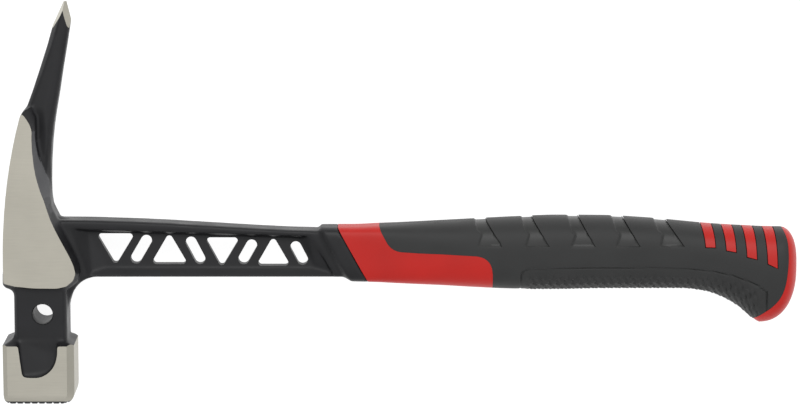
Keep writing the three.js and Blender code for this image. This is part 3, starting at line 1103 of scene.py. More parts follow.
        # up, how far the slope behind the cheek runs out along the handle, how far it goes down
        slope = np.array([
            (57.6, 1.8, 4.5), (68.0, 2.6, 5.4), (77.0, 2.3, 5.6), (79.3, 1.6, 5.4), (83.5, 1.6, 5.2),
            (88.0, 3.4, 7.2), (92.0, 4.3, 7.4), (96.7, 3.4, 5.8), (103.7, 1.9, 3.6), (111.0, 1.3, 2.8),
        ])
        places = [up for _, up in back_edge]
        skirts, drops = (np.interp(places, slope[:, 0], slope[:, column]) for column in (1, 2))
        # along, up, how far the slope runs out along and up, how far it goes down
        face = [
            *[(x, y, 0.0, 0.0, 0.0) for x, y in bow((0.95, 50.4), (-0.1, 88.0), (8.8, 120.1), 10)],
            (9.67, 121.2, 0.3, 1.0, 1.0),
            (11.3, 119.2, 1.5, 4.4, 5.4),
            (12.9, 116.5, 1.9, 2.6, 5.0),
            *[(*edge, float(skirt), 0.3, float(drop)) for edge, skirt, drop in zip(back_edge, skirts, drops)],
            (30.9, 54.6, 1.6, -0.4, 3.0),
            (29.8, 51.6, 1.5, -1.0, 2.6),
            (26.8, 49.2, 1.0, -1.4, 2.2),
            (22.8, 48.4, 0.2, -0.8, 1.0),
            (14.0, 48.5, 0.0, -0.5, 0.6),
            (6.0, 49.2, 0.0, -0.3, 0.4),
        ]

        def ring(out: float, share: float, fall: float) -> list[Point3]:
            """The outline at one height, its slope drawn out and let down by a share.

            Args:
                out: The height of the cheek's own edge.
                share: Share of the way that the slope runs out.
                fall: Share of the way that it goes down.

            Returns:
                The outline's points.
            """
            side = math.copysign(fall, out)
            return [(x + dx * share, y + dy * share, out - side * drop) for x, y, dx, dy, drop in face]

        levels = [(-12.9, 0.0, 0.0), (-11.8, 0.0, 0.0), (-11.7, 1.0, 1.0), (-0.8, 1.0, 0.0),
                  (0.8, 1.0, 0.0), (11.7, 1.0, 1.0), (11.8, 0.0, 0.0), (12.9, 0.0, 0.0)]
        return self.bench.skin("cheek_blank", [ring(*level) for level in levels])

    def spike_blank(self) -> Object:
        """The spike: a bar that tapers, with a faint ridge down each side.

        Returns:
            The blank.
        """
        # up, front edge, back edge, half thickness
        stations = (
            (78.0, 7.0, 20.9, 7.2),
            (84.0, 7.2, 20.8, 7.1),
            (92.0, 7.4, 20.7, 6.9),
            (100.0, 7.5, 20.8, 6.7),
            (108.0, 7.7, 21.25, 6.5),
            (114.0, 8.2, 21.9, 6.3),
            (118.5, 9.2, 22.55, 6.1),
            (121.4, 10.3, 23.05, 5.9),
            (129.7, 13.4, 24.55, 5.4),
            (138.7, 16.4, 26.0, 4.9),
            (148.8, 19.65, 27.8, 4.3),
            (157.5, 22.1, 29.25, 3.8),
            (169.0, 25.6, 31.0, 3.2),
        )

        def ring(up: float, front: float, back: float, half: float) -> list[Point3]:
            """The section at one height, from the back round the near side to the front.

            Args:
                up: The height.
                front: Its front edge.
                back: Its back edge.
                half: Half its thickness.

            Returns:
                The section's points, once round.
            """
            width = back - front
            worn = float(np.clip((up - 128.0) / 36.0, 0.0, 1.0))
            thin = float(np.clip((106.0 - up) / 14.0, 0.0, 1.0))
            side = [
                (back, (0.62 - 0.07 * worn - 0.34 * thin) * half),
                (back - 0.13 * width, (0.9 - 0.08 * worn - 0.2 * thin) * half),
                (back - 0.38 * width, (1.0 - 0.06 * worn) * half),
                (front + (0.14 + 0.2 * worn) * width, (0.93 + 0.07 * worn) * half),
                (front, (0.66 - 0.58 * worn) * half),
            ]
            return [(a, up, o) for a, o in side] + [(a, up, -o) for a, o in reversed(side)]

        return self.bench.skin("spike_blank", [ring(*station) for station in stations])

    def flute(self, side: Side) -> Object:
        """The shallow hollow in one side of the spike, beside the cheek.

        Args:
            side: The side that it is in.

        Returns:
            The cutter.
        """
        rim = through([(9.0, 76.0), (9.0, 112.0), (11.6, 120.6), (14.0, 122.6), (16.2, 122.0),
                       (17.6, 119.2), (18.6, 112.0), (19.3, 104.0), (19.6, 97.0), (19.5, 90.0),
                       (19.2, 84.0), (19.0, 76.0)], 3)
        centre = (13.0, 100.0)

        def ring(out: float, grow: float) -> list[Point3]:
            """The hollow's rim at one height.

            Args:
                out: The height over the middle plane.
                grow: How far the rim is moved out.

            Returns:
                The rim's points.
            """
            points = []
            for along, up in rim:
                away = Vector((along - centre[0], (up - centre[1]) * 0.3)).normalized() * grow
                points.append((along + away.x, up + away.y, out + self.flute_taper * max(0.0, up - 84.0)))
            return points

        near = side.value
        levels = ((5.9, -3.0), (6.3, -1.0), (6.9, 1.9), (11.0, 2.1))
        rings = [[(a, u, near * o) for a, u, o in ring(out, grow)] for out, grow in levels]
        return self.bench.skin("flute", rings)

    def shank_blank(self) -> Object:
        """The shank's bar, with the fillets that carry it into the head.

        Returns:
            The blank.
        """
        end = self.bolster_front + 3.0
        drawing = self.bench.drawing
        bottom = self.shank_bottom
        outline = [
            (14.0, 36.0),
            (self.neck_back, 36.0),
            *bow((self.neck_back, 37.5), (28.9, 51.2), (38.5, bottom), 8),
            (46.0, bottom),
            (drawing.leaning(end, bottom), bottom),
            (drawing.leaning(end, 72.0), self.shank_top(drawing.leaning(end, 72.0))),
            *[point for point in reversed(self.shank_line) if 34.0 < point[0] < 132.0],
            (14.0, self.shank_top(30.0)),
        ]
        blank = self.bench.prism("shank_blank", outline, -self.shank_half, self.shank_half)
        return self.bench.bevel(blank, 3.2, 4, 60.0)

    def root_blank(self) -> Object:
        """The thin root that carries the shank's top edge up into the spike's back edge.

        Returns:
            The blank.
        """
        outline = [
            (12.0, 70.0),
            (28.5, 70.0),
            *bow((28.5, self.shank_top(28.5)), (22.2, self.shank_top(28.0) + 0.2), (21.4, 79.4), 6),
            (20.5, 83.5),
            (20.4, 88.0),
            (20.6, 92.0),
            (12.0, 92.0),
        ]
        blank = self.bench.prism("root_blank", outline, -2.6, 2.6)
        return self.bench.bevel(blank, 0.8, 2, 60.0)

    def web_pocket(self, side: Side) -> Object:
        """The pocket in one side of the shank, steep under its top rail and easy at its ends.

        Args:
            side: The side that it is in.

        Returns:
            The cutter.
        """
        near, half, web = side.value, self.shank_half, self.web_half
        # the corners of the floor, the rim and the face over it: top front, bottom front, and so on
        floor = [(35.4, 70.8, web), (43.0, 56.0, web + 0.8), (129.8, 55.9, web + 0.8), (122.6, 68.1, web)]
        rim = [(28.5, 72.5, half), (37.0, 54.2, half - 2.2), (137.2, 54.0, half - 2.2), (128.0, 69.6, half)]
        above = [(27.0, 73.4, half + 2.2), (35.0, 50.6, half + 0.6), (139.0, 50.4, half + 0.6),
                 (129.5, 70.4, half + 2.2)]
        levels = [[(a, u, near * out) for a, u, out in level] for level in (floor, rim, above)]
        return self.bench.skin("web_pocket", levels)

    def bolster_blank(self) -> Object:
        """The bolster in front of the grip, with a front that slopes down in small steps.

        Returns:
            The blank.
        """
        drawing = self.bench.drawing

        def slab(start: float, end: float) -> Object:
            """A leaning slab through the whole thickness.

            Args:
                start: Where it starts on the axis.
                end: Where it ends on the axis.

            Returns:
                The slab.
            """
            low, high = 40.0, 84.0
            outline = [(drawing.leaning(start, low), low), (drawing.leaning(end, low), low),
                       (drawing.leaning(end, high), high), (drawing.leaning(start, high), high)]
            return self.bench.prism("slab", outline, -12.0, 12.0)

        block = self.form.solid(self.bench, "bolster_blank", (118.0, 172.0), 2.0, 48)
        self.bench.work(block, [slab(self.bolster_front, drawing.joint_along - 0.15)], Cut.KEEP)
        for inset, ahead in ((0.6, 0.7), (1.2, 1.5), (1.9, 2.6)):
            slope = self.form.solid(self.bench, "bolster_slope", (110.0, 172.0), 2.0, 48, inset)
            self.bench.work(slope, [slab(self.bolster_front - ahead, drawing.joint_along - 1.0)], Cut.KEEP)
            self.bench.work(block, [slope], Cut.JOIN)
        return block

    def scoop(self, side: Side) -> Object:
        """The hollow in one side of the poll, which carries the neck's side down into it.

        Args:
            side: The side that it is in.

        Returns:
            The cutter.
        """
        outline = [
            (6.7, 30.0),
            (6.9, 24.0),
            (8.2, 13.4),
            *bow((8.3, 12.8), (8.4, 11.3), (10.2, 11.0), 4),
            (13.4, 10.9),
            *bow((15.2, 11.0), (23.0, 13.4), (23.1, 22.4), 8),
            (23.1, 30.0),
        ]

        def floor(up: float) -> float:
            """Height of the scoop's floor over the middle plane.

            Args:
                up: Height over the striking face.

            Returns:
                The height, in millimetres.
            """
            share = min(1.0, max(0.0, (19.0 - up) / 8.0))
            return self.neck_half + share * share * (self.poll_half - 0.35 - self.neck_half)

        near = side.value
        inner = [(a, u, near * floor(u)) for a, u in outline]
        outer = [(a, u, near * 18.0) for a, u in outline]
        return self.bench.skin("scoop", [inner, outer])

    # -- machined cuts

    def poll_stock(self) -> Object:
        """What the poll is ground down to; the rest of the hammer is left as it was forged.

        Returns:
            The solid that the forging is kept inside.
        """
        width, half = self.poll_width, self.poll_half
        sections = (
            # up, front corner, back corner, front, back, side inset
            (0.0, 1.2, 2.2, 2.2, 2.7, 1.2),
            (1.1, 1.5, 2.6, 1.0, 1.2, 0.3),
            (2.2, 1.8, 2.9, 0.6, 0.5, 0.0),
            (3.8, 1.9, 3.0, 0.4, 0.1, 0.0),
            (5.6, 1.9, 3.0, 0.4, 0.0, 0.0),
            (26.2, 1.9, 3.0, 0.3, 0.0, 0.0),
        )
        rings = []
        for up, front_corner, back_corner, front, back, inset in sections:
            reach, deep = width - back, half - inset
            rings.append([
                (reach, up, deep - back_corner), (reach - back_corner * 0.93, up, deep),
                (front + front_corner, up, deep), (front, up, deep - front_corner),
                (front, up, front_corner - deep), (front + front_corner, up, -deep),
                (reach - back_corner * 0.93, up, -deep), (reach, up, back_corner - deep),
            ])
        stock = self.bench.skin("poll_stock", rings)
        rest = self.bench.block("rest", (-20.0, 25.9, -40.0), (360.0, 190.0, 40.0))
        return self.bench.work(stock, [rest], Cut.JOIN)

    def cheek_cutters(self) -> list[Object]:
        """The grinding passes over the two cheeks.

        Returns:
            The cutters.
        """
        far = 20.0
        return [
            self.bench.block("cheek_pass", (-6.0, 44.0, min(s * self.cheek_half, s * far)),
                             (36.0, 124.0, max(s * self.cheek_half, s * far)))
            for s in (1, -1)
        ]

    def tip_cutters(self) -> list[Object]:
        """Four sloping passes that grind the tip of the spike to a point, and a cut that blunts it.

        Returns:
            The cutters, dressed in the finish that they leave.
        """
        along, up = self.tip
        # lean of the tip, and how fast its edges spread along the handle
        lean, spread = 0.106, 0.356
        above, depth, reach = -4.0, 30.0, 24.0
        # the back edge's passes leave ground steel painted darker, as painted shade; the front edge's leave
        # the polished steel
        # edge, how fast its passes thicken, how far it is set back, and the finish they leave
        edges = ((1, 0.52, 0.0, self.finishes.ground_side), (-1, 1.6 * 0.52, 0.34, self.finishes.polished))
        end = self.bench.block("tip_end", (along - 5.0, self.tip_flat, -5.0), (along + 5.0, 176.0, 5.0))
        cutters = [self.bench.dress(end, self.finishes.polished)]
        for x, thick, blunt, finish in edges:
            for z in (1, -1):
                run = Vector((x * spread, -z * thick)).normalized() * reach

                def section(d: float) -> list[Point3]:
                    """Corners of the pass at a distance under the tip.

                    Args:
                        d: The distance, in millimetres.

                    Returns:
                        The corners.
                    """
                    on_edge = Vector((along - lean * d + x * spread * d - blunt, 0.0))
                    away = Vector((x * reach, z * reach))
                    corners = (on_edge - run, on_edge + run, on_edge + run + away, on_edge - run + away)
                    return [(corner.x, up - d, corner.y) for corner in corners]

                tool = self.bench.skin("tip_pass", [section(above), section(depth)])
                cutters.append(self.bench.dress(tool, finish))
        return cutters

    def window_cutters(self) -> list[Object]:
        """The row of windows through the web: triangles and slots by turns.

        Returns:
            The cutters.
        """
        outlines = [self.triangle(*window) for window in self.triangles]
        outlines += [self.slot(*window) for window in self.slots]
        return [self.bench.prism("window", outline, -9.0, 9.0) for outline in outlines]

    def triangle(self, left: float, right: float, base: float, apex: float, apex_up: float) -> list[Point2]:
        """A triangle with round corners, from the ends of its base and its apex.

        Args:
            left: Front end of the base.
            right: Back end of the base.
            base: Height of the base.
            apex: Where the apex is along the handle.
            apex_up: Height of the apex.

        Returns:
            The outline.
        """
        corners = [Vector((left, base)), Vector((apex, apex_up)), Vector((right, base))]
        outline: list[Point2] = []
        for i, corner in enumerate(corners):
            back = (corners[i - 1] - corner).normalized()
            ahead = (corners[(i + 1) % 3] - corner).normalized()
            half = back.angle(ahead) / 2
            start = corner + back * self.window_corner / math.tan(half)
            end = corner + ahead * self.window_corner / math.tan(half)
            centre = corner + (back + ahead).normalized() * self.window_corner / math.sin(half)
            for step in range(9):
                point = start.lerp(end, step / 8) - centre
                outline.append(tuple(centre + point.normalized() * self.window_corner))
        return outline

    def slot(self, top: float, top_up: float, bottom: float, bottom_up: float) -> list[Point2]:
        """A slot with round ends, from the centres of its ends.

        Args:
            top: Where the upper end is along the handle.
            top_up: Height of the upper end.
            bottom: Where the lower end is along the handle.
            bottom_up: Height of the lower end.

        Returns:
            The outline.
        """
        tilt = math.degrees(math.atan2(top - bottom, top_up - bottom_up))
        return [
            *arc((top, top_up), self.slot_radius, -tilt, 180 - tilt, 12),
            *arc((bottom, bottom_up), self.slot_radius, 180 - tilt, 360 - tilt, 12),
        ]

    def hole_cutter(self) -> Object:
        """The round hole through the neck, with broken edges.

        Returns:
            The cutter.
        """
        along, up, radius = self.hole
        rings = []
        for out, grow in ((-12.0, 1.2), (-10.2, 0.0), (10.2, 0.0), (12.0, 1.2)):
            rings.append([(a, u, out) for a, u in circle((along, up), radius + grow)])
        return self.bench.skin("hole", rings)

    def nail_cutters(self) -> list[Object]:
        """The nail groove in the front of the poll, the slot for the nail's head, and the magnet's pocket.

        Returns:
            The cutters.
        """
        vee = [(-2.0, -4.3), (2.3, 0.0), (-2.0, 4.3)]
        groove = self.bench.skin("nail_groove", [[(a, up, o) for a, o in vee] for up in (-4.0, 15.0)])
        slot = self.bench.block("nail_head_slot", (-2.0, 15.0, -4.5), (4.4, 17.4, 4.5))
        pocket = self.bench.skin(
            "magnet_pocket",
            [[(a, 8.0 + y, z) for y, z in circle((0.0, 0.0), 3.7)] for a in (-2.0, 7.4)],
        )
        return [groove, slot, pocket]

    def teeth_cutters(self) -> list[Object]:
        """Grooves both ways over the striking face, which leave rows of small pyramids.

        Returns:
            The cutters.
        """
        depth = 0.72
        half, under = depth * 1.6, -depth * 1.2
        cutters = []
        for i in range(-4, 5):
            shift = i * self.tooth_pitch
            for across, centre in ((True, self.poll_width / 2 + shift), (False, shift)):
                vee = [(centre - half, under), (centre + half, under), (centre, depth)]
                if across:
                    rings = [[(a, u, o) for a, u in vee] for o in (-20.0, 20.0)]
                else:
                    rings = [[(a, u, o) for o, u in vee] for a in (-6.0, 36.0)]
                cutters.append(self.bench.skin("tooth_row", rings))
        return cutters

    def tang_blank(self) -> Object:
        """The flat tang inside the grip, with three holes that lock the core to it.

        Returns:
            The blank.
        """
        joint = self.bench.drawing.joint_along
        start, end = self.bolster_front + 2.0, self.bench.drawing.length - 29.0
        low, middle, high = 55.0, 61.0, 67.0
        outline = [(start, low), (end - 6.0, low), *arc((end - 6.0, middle), 6.0, -90, 90, 10), (start, high)]
        tang = self.bench.prism("tang_blank", outline, -2.5, 2.5)
        for i in range(3):
            along = joint + 24.0 + i * (end - 18.0 - joint - 24.0) / 2
            hole = self.bench.prism("tang_hole", arc((along, middle), 3.2, 0, 345, 23), -5.0, 5.0)
            self.bench.work(tang, [hole], Cut.REMOVE)
        return tang

    def build(self) -> Object:
        """Melts the blanks into one forging, grinds and machines it, and dresses it.

        Returns:
            The finished forging.
        """
        bench, finishes = self.bench, self.finishes
        forging = self.poll_blank()
        for side in Side:
            bench.work(forging, [self.scoop(side)], Cut.REMOVE)
        shank = self.shank_blank()
        bench.work(shank, [self.web_pocket(side) for side in Side], Cut.REMOVE)
        spike = bench.work(self.spike_blank(), [self.flute(side) for side in Side], Cut.REMOVE)
        blanks = [self.neck_blank(), self.cheek_blank(), spike, shank, self.root_blank()]
        bench.work(forging, [*blanks, self.bolster_blank()], Cut.JOIN)
        bench.forge(forging, self.voxel, 6)
        bench.dress(forging, finishes.lacquer)
        stock = bench.dress(self.poll_stock(), finishes.ground, finishes.ground_side)
        # faces that turn away from the camera take the darker ground steel, as painted shade
        for face in stock.data.polygons:
            face.material_index = int(abs(face.normal.z) < 0.9)
        bench.work(forging, [stock], Cut.KEEP)
        bench.work(forging, [bench.dress(tool, finishes.ground) for tool in self.cheek_cutters()], Cut.REMOVE)
        bench.work(forging, self.tip_cutters(), Cut.REMOVE)
        black_tools = [*self.window_cutters(), self.hole_cutter()]
        black_tools += [*self.teeth_cutters(), *self.nail_cutters()]
        bench.work(forging, [bench.dress(tool, finishes.lacquer) for tool in black_tools], Cut.REMOVE)
        bench.work(forging, [bench.dress(self.tang_blank(), finishes.lacquer)], Cut.JOIN)
        forging.name = "hammer_body"
        self.touch_up(forging)
        bench.finish(forging, 28.0)
        return bench.release(forging, "hammer_forging", "lacquered_steel")

    def touch_up(self, forging: Object) -> None:
        """Leaves the striking face black, and paints the lacquer lighter, as painted light, on the slopes
        behind the cheeks that face the light.

        Args:
            forging: The machined forging, dressed in its lacquer.
        """
        finishes, drawing = self.finishes, self.bench.drawing
        lacquers = (finishes.lacquer, finishes.worn_lacquer, finishes.thin_lacquer)
        for finish in lacquers[1:]:
            forging.data.materials.append(finish)
        names = [material.name for material in forging.data.materials]
        black, worn, thin = (names.index(finish.name) for finish in lacquers)
        foot_up, foot_along = zip(*self.slope_foot)
        for face in forging.data.polygons:
            along, up, out = drawing.read(face.center)
            if up < self.face_height:
                face.material_index = black
            elif face.material_index == black and self.slope_span[0] < up < self.slope_span[1]:
                behind = 12.5 < along < np.interp(up, foot_up, foot_along) and abs(out) > 4.0
                # faces that turn towards the light get lacquer painted lighter, as painted light, lighter
                # still above slope_turn
                if behind and face.normal.x > 0.5 and abs(face.normal.z) > 0.3:
                    face.material_index = thin if up > self.slope_turn else worn


# ---- the grip's pieces --------------------------------------------------------------------


@dataclass
class Grip:
    """The moulded grip: skin, collar, bars and butt cap over the hidden core.

    Attributes:
        bench: The bench that makes it.
        form: The grip's outer form.
        finishes: The finishes it is dressed in.
        wall: Thickness of the moulded pieces.
        seam: Clearance round the collar and the cap.
        bar_seam: Width of the groove round each red bar.
        slits: Where each slit starts at the back and ends at the crease, along the handle.
        slit_span: Heights of the crease and of the slits' upper ends.
        slit_width: Width of a slit.
        slit_floor: How far under the form's surface the slits end.
        bar_ends: How far over the axis each red bar reaches down.
        bar_tilts: How much each bar's end tilts.
        bar_pitch: Distance between the bars.
        bar_width: Width of a bar.
        tongue: The collar's tongue: its end, its top and its root.
        panel_span: Where the textured panel starts and ends, along the handle.
        panel_corner: Radius of the panel's front corner.
        recess_depth: Depth of the recesses in front of the slits.
        panel_depth: How far the panel's plain band is sunk.
        border_depth: Depth of the groove round the panel.
        scale_height: Height of the small scales on the belly.
        past_butt: A place behind the butt, up to which the wall of a piece may run.
    """

    bench: Bench
    form: GripForm
    finishes: Finishes
    wall: float = 2.6
    seam: float = 0.05
    bar_seam: float = 0.32
    slits: tuple[Point2, ...] = (
        (200.6, 207.4), (220.4, 226.9), (239.8, 245.9), (258.0, 264.5), (275.1, 282.8),
    )
    slit_span: Point2 = (66.0, 76.2)
    slit_width: float = 0.5
    slit_floor: float = 1.25
    bar_ends: tuple[float, ...] = (3.7, 2.1, -0.65, -3.9)
    bar_tilts: tuple[float, ...] = (0.05, 0.35, 0.5, 0.95)
    bar_pitch: float = 8.55
    bar_width: float = 3.9
    tongue: Point3 = (203.3, 61.9, 157.2)
    panel_span: Point2 = (214.9, 317.5)
    panel_corner: float = 4.0
    recess_depth: float = 0.55
    panel_depth: float = 0.42
    border_depth: float = 0.38
    scale_height: float = 0.75
    past_butt: float = 400.0

    # -- side views of the pieces

    def collar_view(self, grow: float) -> list[Point2]:
        """The red collar: a leaning band with a tongue along the belly.

        Args:
            grow: How far it is moved out, for a clearance.

        Returns:
            The side view.
        """
        drawing = self.bench.drawing
        joint, high, low = drawing.joint_along - grow, 100.0, 24.0
        end, top, root = self.tongue[0] + grow, self.tongue[1] + grow, self.tongue[2] + grow
        return [
            (drawing.leaning(joint, low), low),
            (end + 0.4, low),
            (end + 0.3, 54.0),
            *bow((end, 56.4), (end - 1.0, top - 0.6), (end - 6.4, top), 8),
            (end - 20.0, top + 0.7),
            (end - 30.0, top + 1.0),
            *bow((root + 8.6, top + 1.4), (root + 5.0, top + 1.7), (root + 2.9, top + 4.6), 6),
            (root + 0.1, 71.5),
            (root - 1.6, 76.0),
            (drawing.leaning(root - 1.8, high) + 10.0, high),
            (drawing.leaning(joint, high), high),
        ]

    def bar_view(self, index: int, grow: float) -> list[Point2]:
        """One red bar: a curved strip over the grip's back, longer towards the butt.

        Args:
            index: Which bar, from the front.
            grow: How far it is moved out, for a clearance.

        Returns:
            The side view.
        """
        left = self.form.end - 15.0 - (len(self.bar_ends) - 1 - index) * self.bar_pitch - grow
        right = left + self.bar_width + 2 * grow
        end = self.bench.drawing.axis_up + self.bar_ends[index] - grow
        tilt = self.bar_tilts[index]
        lean = 2.3
        return [
            *bow((left - 1.2, 80.0), (left + 1.9, 72.0), (left + lean, end + tilt), 8),
            *bow((right + lean, end - tilt), (right + 2.1, 72.0), (right - 0.6, 80.0), 8),
        ]

    def cap_view(self, grow: float) -> list[Point2]:
        """The butt cap: what lies outside a smaller curve drawn inside the butt.

        Args:
            grow: How far it is moved out, for a clearance.

        Returns:
            The side view.
        """
        inner = through([
            (320.6, 78.0), (323.4, 73.4), (325.4, 68.6), (325.9, 62.0), (325.6, 55.6), (324.6, 49.4),
            (322.6, 44.4), (319.4, 40.6), (315.6, 37.7), (312.7, 35.4), (310.6, 32.6), (309.4, 28.0),
        ], 5)
        moved = [(a - grow, u + grow * 0.7) for a, u in inner]
        return [*moved, (309.0 - grow, 0.0), (360.0, 0.0), (360.0, 78.0)]

    # -- moulded detail

    def slit_at(self, index: int, up: np.ndarray) -> np.ndarray:
        """Where one slit runs at each height.

        Args:
            index: Which slit, from the front.
            up: The heights.

        Returns:
            The places along the handle.
        """
        top, bottom = self.slits[index]
        share = (self.slit_span[1] - up) / (self.slit_span[1] - self.slit_span[0])
        return top + (bottom - top) * share

    def recess(self, along: float, up: np.ndarray) -> np.ndarray:
        """How deep the smooth recesses in front of the slits are, from 0 to 1.

        Args:
            along: Where the ring of points is, on the drawing.
            up: Height of each point.

        Returns:
            The share at each point.
        """
        depth = np.zeros_like(up)
        share = (self.slit_span[1] - up) / (self.slit_span[1] - self.slit_span[0])
        width = np.interp(share, [0.0, 0.35, 0.5, 0.56, 1.0], [4.9, 6.4, 5.4, 6.0, 10.4])
        for index in range(len(self.slits)):
            before = self.slit_at(index, up) - along
            edge = eased(width - before, 0.0, 0.9)
            inside = np.where(before > 0, edge, 0.0)
            depth = np.maximum(depth, inside)
        return depth * eased(up, self.slit_span[0] - 0.2, self.slit_span[0] + 0.5)

    def panel_top(self, along: float) -> float:
        """Height of the upper border of the textured panel under the grip.

        Args:
            along: The place, on the drawing.

        Returns:
            The height there.
        """
        border = ((212.0, 56.8), (221.0, 56.7), (240.0, 57.2), (268.0, 57.4), (289.0, 56.6), (296.8, 55.6),
                  (304.0, 53.9), (309.0, 52.0), (313.4, 50.0), (317.0, 47.4), (320.0, 44.0))
        return float(np.interp(along, [a for a, _ in border], [u for _, u in border]))

    def panel(self, along: float, up: np.ndarray) -> np.ndarray:
        """How far inside the textured panel each point is, in millimetres.

        Args:
            along: Where the ring of points is, on the drawing.
            up: Height of each point.

        Returns:
            The distance at each point, negative outside.
        """
        (start, end), corner = self.panel_span, self.panel_corner
        below = self.panel_top(along) - up
        ahead = along - start
        rounded = corner - np.hypot(np.clip(corner - below, 0, None), np.clip(corner - ahead, 0, None))
        inside = np.where((below < corner) & (ahead < corner), rounded, np.minimum(below, ahead))
        return np.minimum(inside, end - along)

    def scales(self, along: float, ring: np.ndarray) -> np.ndarray:
        """Rows of small overlapping scales round the belly.

        Args:
            along: Where the ring of points is, on the drawing.
            ring: The points, as (up, out) rows.

        Returns:
            The height at each point, as a share.
        """
        pitch, row_width = 3.2, 2.9
        steps = np.hypot(*(np.roll(ring, -1, axis=0) - ring).T)
        around = np.concatenate([[0.0], np.cumsum(steps)[:-1]])
        around = np.where(around > around[-1] / 2, around - around[-1] - steps[-1], around)
        row = np.floor(around / row_width + 0.5)
        across = around / row_width - row
        phase = np.mod(along / pitch + 0.5 * np.mod(row, 2) + 0.9 * across * across, 1.0)
        ramp = np.where(phase < 0.82, phase / 0.82, (1 - phase) / 0.18)
        return (ramp - 0.45) * (1 - 0.35 * (2 * across) ** 2)

    def relief(self, along: float, ring: np.ndarray) -> np.ndarray:
        """Height of the moulded detail over the plain form, in millimetres.

        Args:
            along: Where the ring of points is, on the drawing.
            ring: The points, as (up, out) rows.

        Returns:
            The height at each point.
        """
        up = ring[:, 0]
        height = -self.recess_depth * self.recess(along, up)
        inside = self.panel(along, up)
        belly = eased(self.panel_top(along) - up, 4.0, 9.0) * eased(inside, 0.0, 0.7)
        height -= self.panel_depth * eased(inside, 0.0, 0.4) * (1 - belly)
        height -= self.border_depth * eased(inside, -0.1, 0.25) * eased(-inside, -1.0, -0.5) * (1 - belly)
        return height + self.scale_height * self.scales(along, ring) * eased(inside, 1.4, 5.0)

    # -- pieces

    def slit_cutters(self) -> Object:
        """Thin blades that cut the slits to a small depth on both sides.

        Returns:
            All the blades, joined into one cutter.
        """
        blade = None
        low, high = self.slit_span
        for index in range(len(self.slits)):
            line = [(float(self.slit_at(index, np.array(u))), u) for u in np.linspace(high + 4.0, low, 5)]
            half = self.slit_width / 2
            outline = [(a - half, u) for a, u in line]
            outline += [(a + half * (0.4 if u == low else 1.0), u) for a, u in reversed(line)]
            cutter = self.bench.prism("slit", outline, -20.0, 20.0)
            blade = cutter if blade is None else self.bench.work(blade, [cutter], Cut.JOIN)
        keep = self.form.solid(self.bench, "slit_floor", (190.0, 300.0), 3.0, 64, self.slit_floor)
        return self.bench.work(blade, [keep], Cut.REMOVE)

    def shell(self, name: str, span: Point2, step: float, around: int, detailed: bool = False) -> Object:
        """A stretch of the grip's wall, hollow over the core.

        Args:
            name: Name of the new object.
            span: Where it starts and ends, on the drawing.
            step: Distance between its rings.
            around: How many points each ring has.
            detailed: Whether it has the moulded detail.

        Returns:
            The hollow solid.
        """
        relief = self.relief if detailed else None
        outer = self.form.solid(self.bench, name, span, step, around, 0.0, relief)
        inner = self.form.solid(self.bench, "hollow", (span[0] - 5.0, span[1] + 5.0), 4.0, 32, self.wall)
        return self.bench.work(outer, [inner], Cut.REMOVE)

    def through_plate(self, name: str, view: Sequence[Point2]) -> Object:
        """A plate of a side view, through the whole thickness."""
        return self.bench.prism(name, view, -24.0, 24.0)

    def build_skin(self) -> Object:
        """The black skin, with its recesses, slits and textured panel.

        Returns:
            The finished skin.
        """
        skin = self.shell("skin", (128.0, self.past_butt), 0.42, 150, detailed=True)
        tools = [self.through_plate("collar_cut", self.collar_view(self.seam)),
                 self.through_plate("cap_cut", self.cap_view(self.seam)),
                 self.slit_cutters()]
        drawing = self.bench.drawing
        front = [(100.0, 20.0), (drawing.leaning(150.0, 20.0), 20.0), (drawing.leaning(150.0, 100.0), 100.0),
                 (100.0, 100.0)]
        tools.append(self.through_plate("front_cut", front))
        for index in range(len(self.bar_ends)):
            tools.append(self.through_plate("bar_cut", self.bar_view(index, self.bar_seam)))
        self.bench.work(skin, tools, Cut.REMOVE)
        self.bench.dress(skin, self.finishes.rubber, self.finishes.smooth_rubber)
        for face in skin.data.polygons:
            along, up, _ = drawing.read(face.center)
            face.material_index = int(self.recess(along, np.array([up]))[0] > 0.5)
        self.bench.finish(skin, 32.0)
        return self.bench.release(skin, "grip_skin", "grip_rubber")

    def red_piece(
        self, name: str, node: str, span: Point2, mesh: tuple[float, int], view: Sequence[Point2]
    ) -> Object:
        """A red piece: the part of the grip's wall that lies inside a side view.

        Args:
            name: Name of the new object.
            node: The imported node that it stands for.
            span: Where its stretch of wall starts and ends, on the drawing.
            mesh: Distance between its rings, and how many points each ring has.
            view: The side view.

        Returns:
            The finished piece.
        """
        piece = self.shell(name, span, *mesh)
        self.bench.work(piece, [self.through_plate("view", view)], Cut.KEEP)
        self.bench.dress(piece, self.finishes.red)
        self.bench.finish(piece, 32.0)
        return self.bench.release(piece, node, "red_plastic")

    def build(self) -> None:
        """Builds the skin, the collar with its tongue, the bars over the back, and the butt cap."""
        self.build_skin()
        self.red_piece("red_collar", "front_collar", (125.0, 214.0), (0.8, 120), self.collar_view(0.0))
        for i in range(len(self.bar_ends)):
            view = self.bar_view(i, 0.0)
            self.red_piece(f"red_bar_{i + 1}", f"grip_bar_{i + 1}", (284.0, self.past_butt), (0.7, 130), view)
        self.red_piece("red_cap", "butt_cap", (296.0, self.past_butt), (0.5, 150), self.cap_view(0.0))


# ---- studio -------------------------------------------------------------------------------


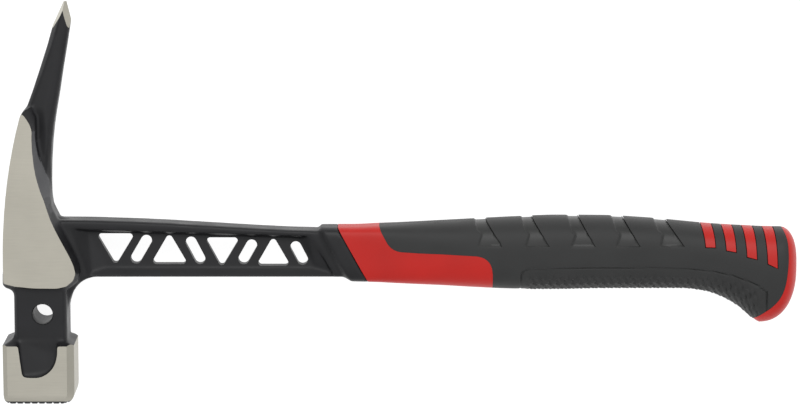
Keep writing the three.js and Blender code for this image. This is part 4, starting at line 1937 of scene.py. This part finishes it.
@dataclass
class Studio:
    """The floor, the lights and the camera.

    Attributes:
        drawing: The hammer's drawing.
        tilt: How far the camera leans over towards the spike, in radians.
        distance: From the camera to the hammer's middle, in metres.
        lens: The camera's focal length, in millimetres.
        sensor: Width of its sensor, in millimetres.
        aim: The point that the camera looks at, on the drawing.
        sky: Strength of the even light from all round.
    """

    drawing: Drawing
    tilt: float = math.radians(8.7)
    distance: float = 1.6
    lens: float = 173.2
    sensor: float = 36.0
    aim: Point3 = (165.2, 82.2, 0.0)
    sky: float = 0.72

    def floor(self) -> None:
        """A wide plain floor."""
        bpy.ops.object.select_all(action="DESELECT")
        bpy.ops.mesh.primitive_plane_add(size=8.0, location=(0.0, 0.0, -0.0002))
        table = bpy.context.object
        table.name = "studio_floor"
        table.data.materials.append(LightTable().build())
        table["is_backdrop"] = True

    def light(self, name: str, place: Point3, size: Point2, power: float) -> None:
        """A soft rectangular light that faces the hammer.

        Args:
            name: The light's name.
            place: Where it is, in metres.
            size: Its width and height, in metres.
            power: Its power, in watts.
        """
        data = bpy.data.lights.new(name, "AREA")
        data.shape = "RECTANGLE"
        data.size, data.size_y = size
        data.energy = power
        lamp = bpy.data.objects.new(name, data)
        lamp.location = place
        lamp.rotation_euler = (-Vector(place)).to_track_quat("-Z", "Y").to_euler()
        bpy.context.collection.objects.link(lamp)

    def camera(self) -> None:
        """The camera over the hammer's middle, leaning towards the spike."""
        data = bpy.data.cameras.new("camera")
        data.sensor_width = self.sensor
        data.lens = self.lens
        camera = bpy.data.objects.new("camera", data)
        target = self.drawing.place(*self.aim)
        camera.location = target + self.distance * Vector((0.0, math.sin(self.tilt), math.cos(self.tilt)))
        camera.rotation_euler = Matrix.Rotation(-self.tilt, 3, "X").to_euler()
        bpy.context.collection.objects.link(camera)
        bpy.context.scene.camera = camera

    def build(self) -> None:
        """Builds the studio."""
        self.floor()
        self.light("key", (0.15, 1.15, 1.5), (1.4, 0.8), 10.0)
        self.light("overhead", (0.0, 0.3, 2.3), (1.9, 1.9), 4.4)
        world = bpy.data.worlds.new("studio")
        world.use_nodes = True
        background = world.node_tree.nodes["Background"]
        background.inputs["Color"].default_value = (0.97, 0.985, 1.0, 1.0)
        background.inputs["Strength"].default_value = self.sky
        bpy.context.scene.world = world
        bpy.context.scene.view_settings.view_transform = "Standard"
        self.camera()


def main() -> None:
    """Builds the hammer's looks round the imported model, and reports each piece."""
    logging.basicConfig(level=logging.INFO, format="%(message)s")
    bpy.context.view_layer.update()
    drawing = Drawing.of_frame()
    bench = Bench(drawing)
    finishes = Finishes.build()
    form = GripForm(drawing)
    Forging(bench, form, finishes).build()
    Grip(bench, form, finishes).build()
    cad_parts["nail_magnet"].data.materials[0] = finishes.magnet
    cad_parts["tang_core"].data.materials[0] = finishes.core
    Studio(drawing).build()


if __name__ == "__main__":
    main()
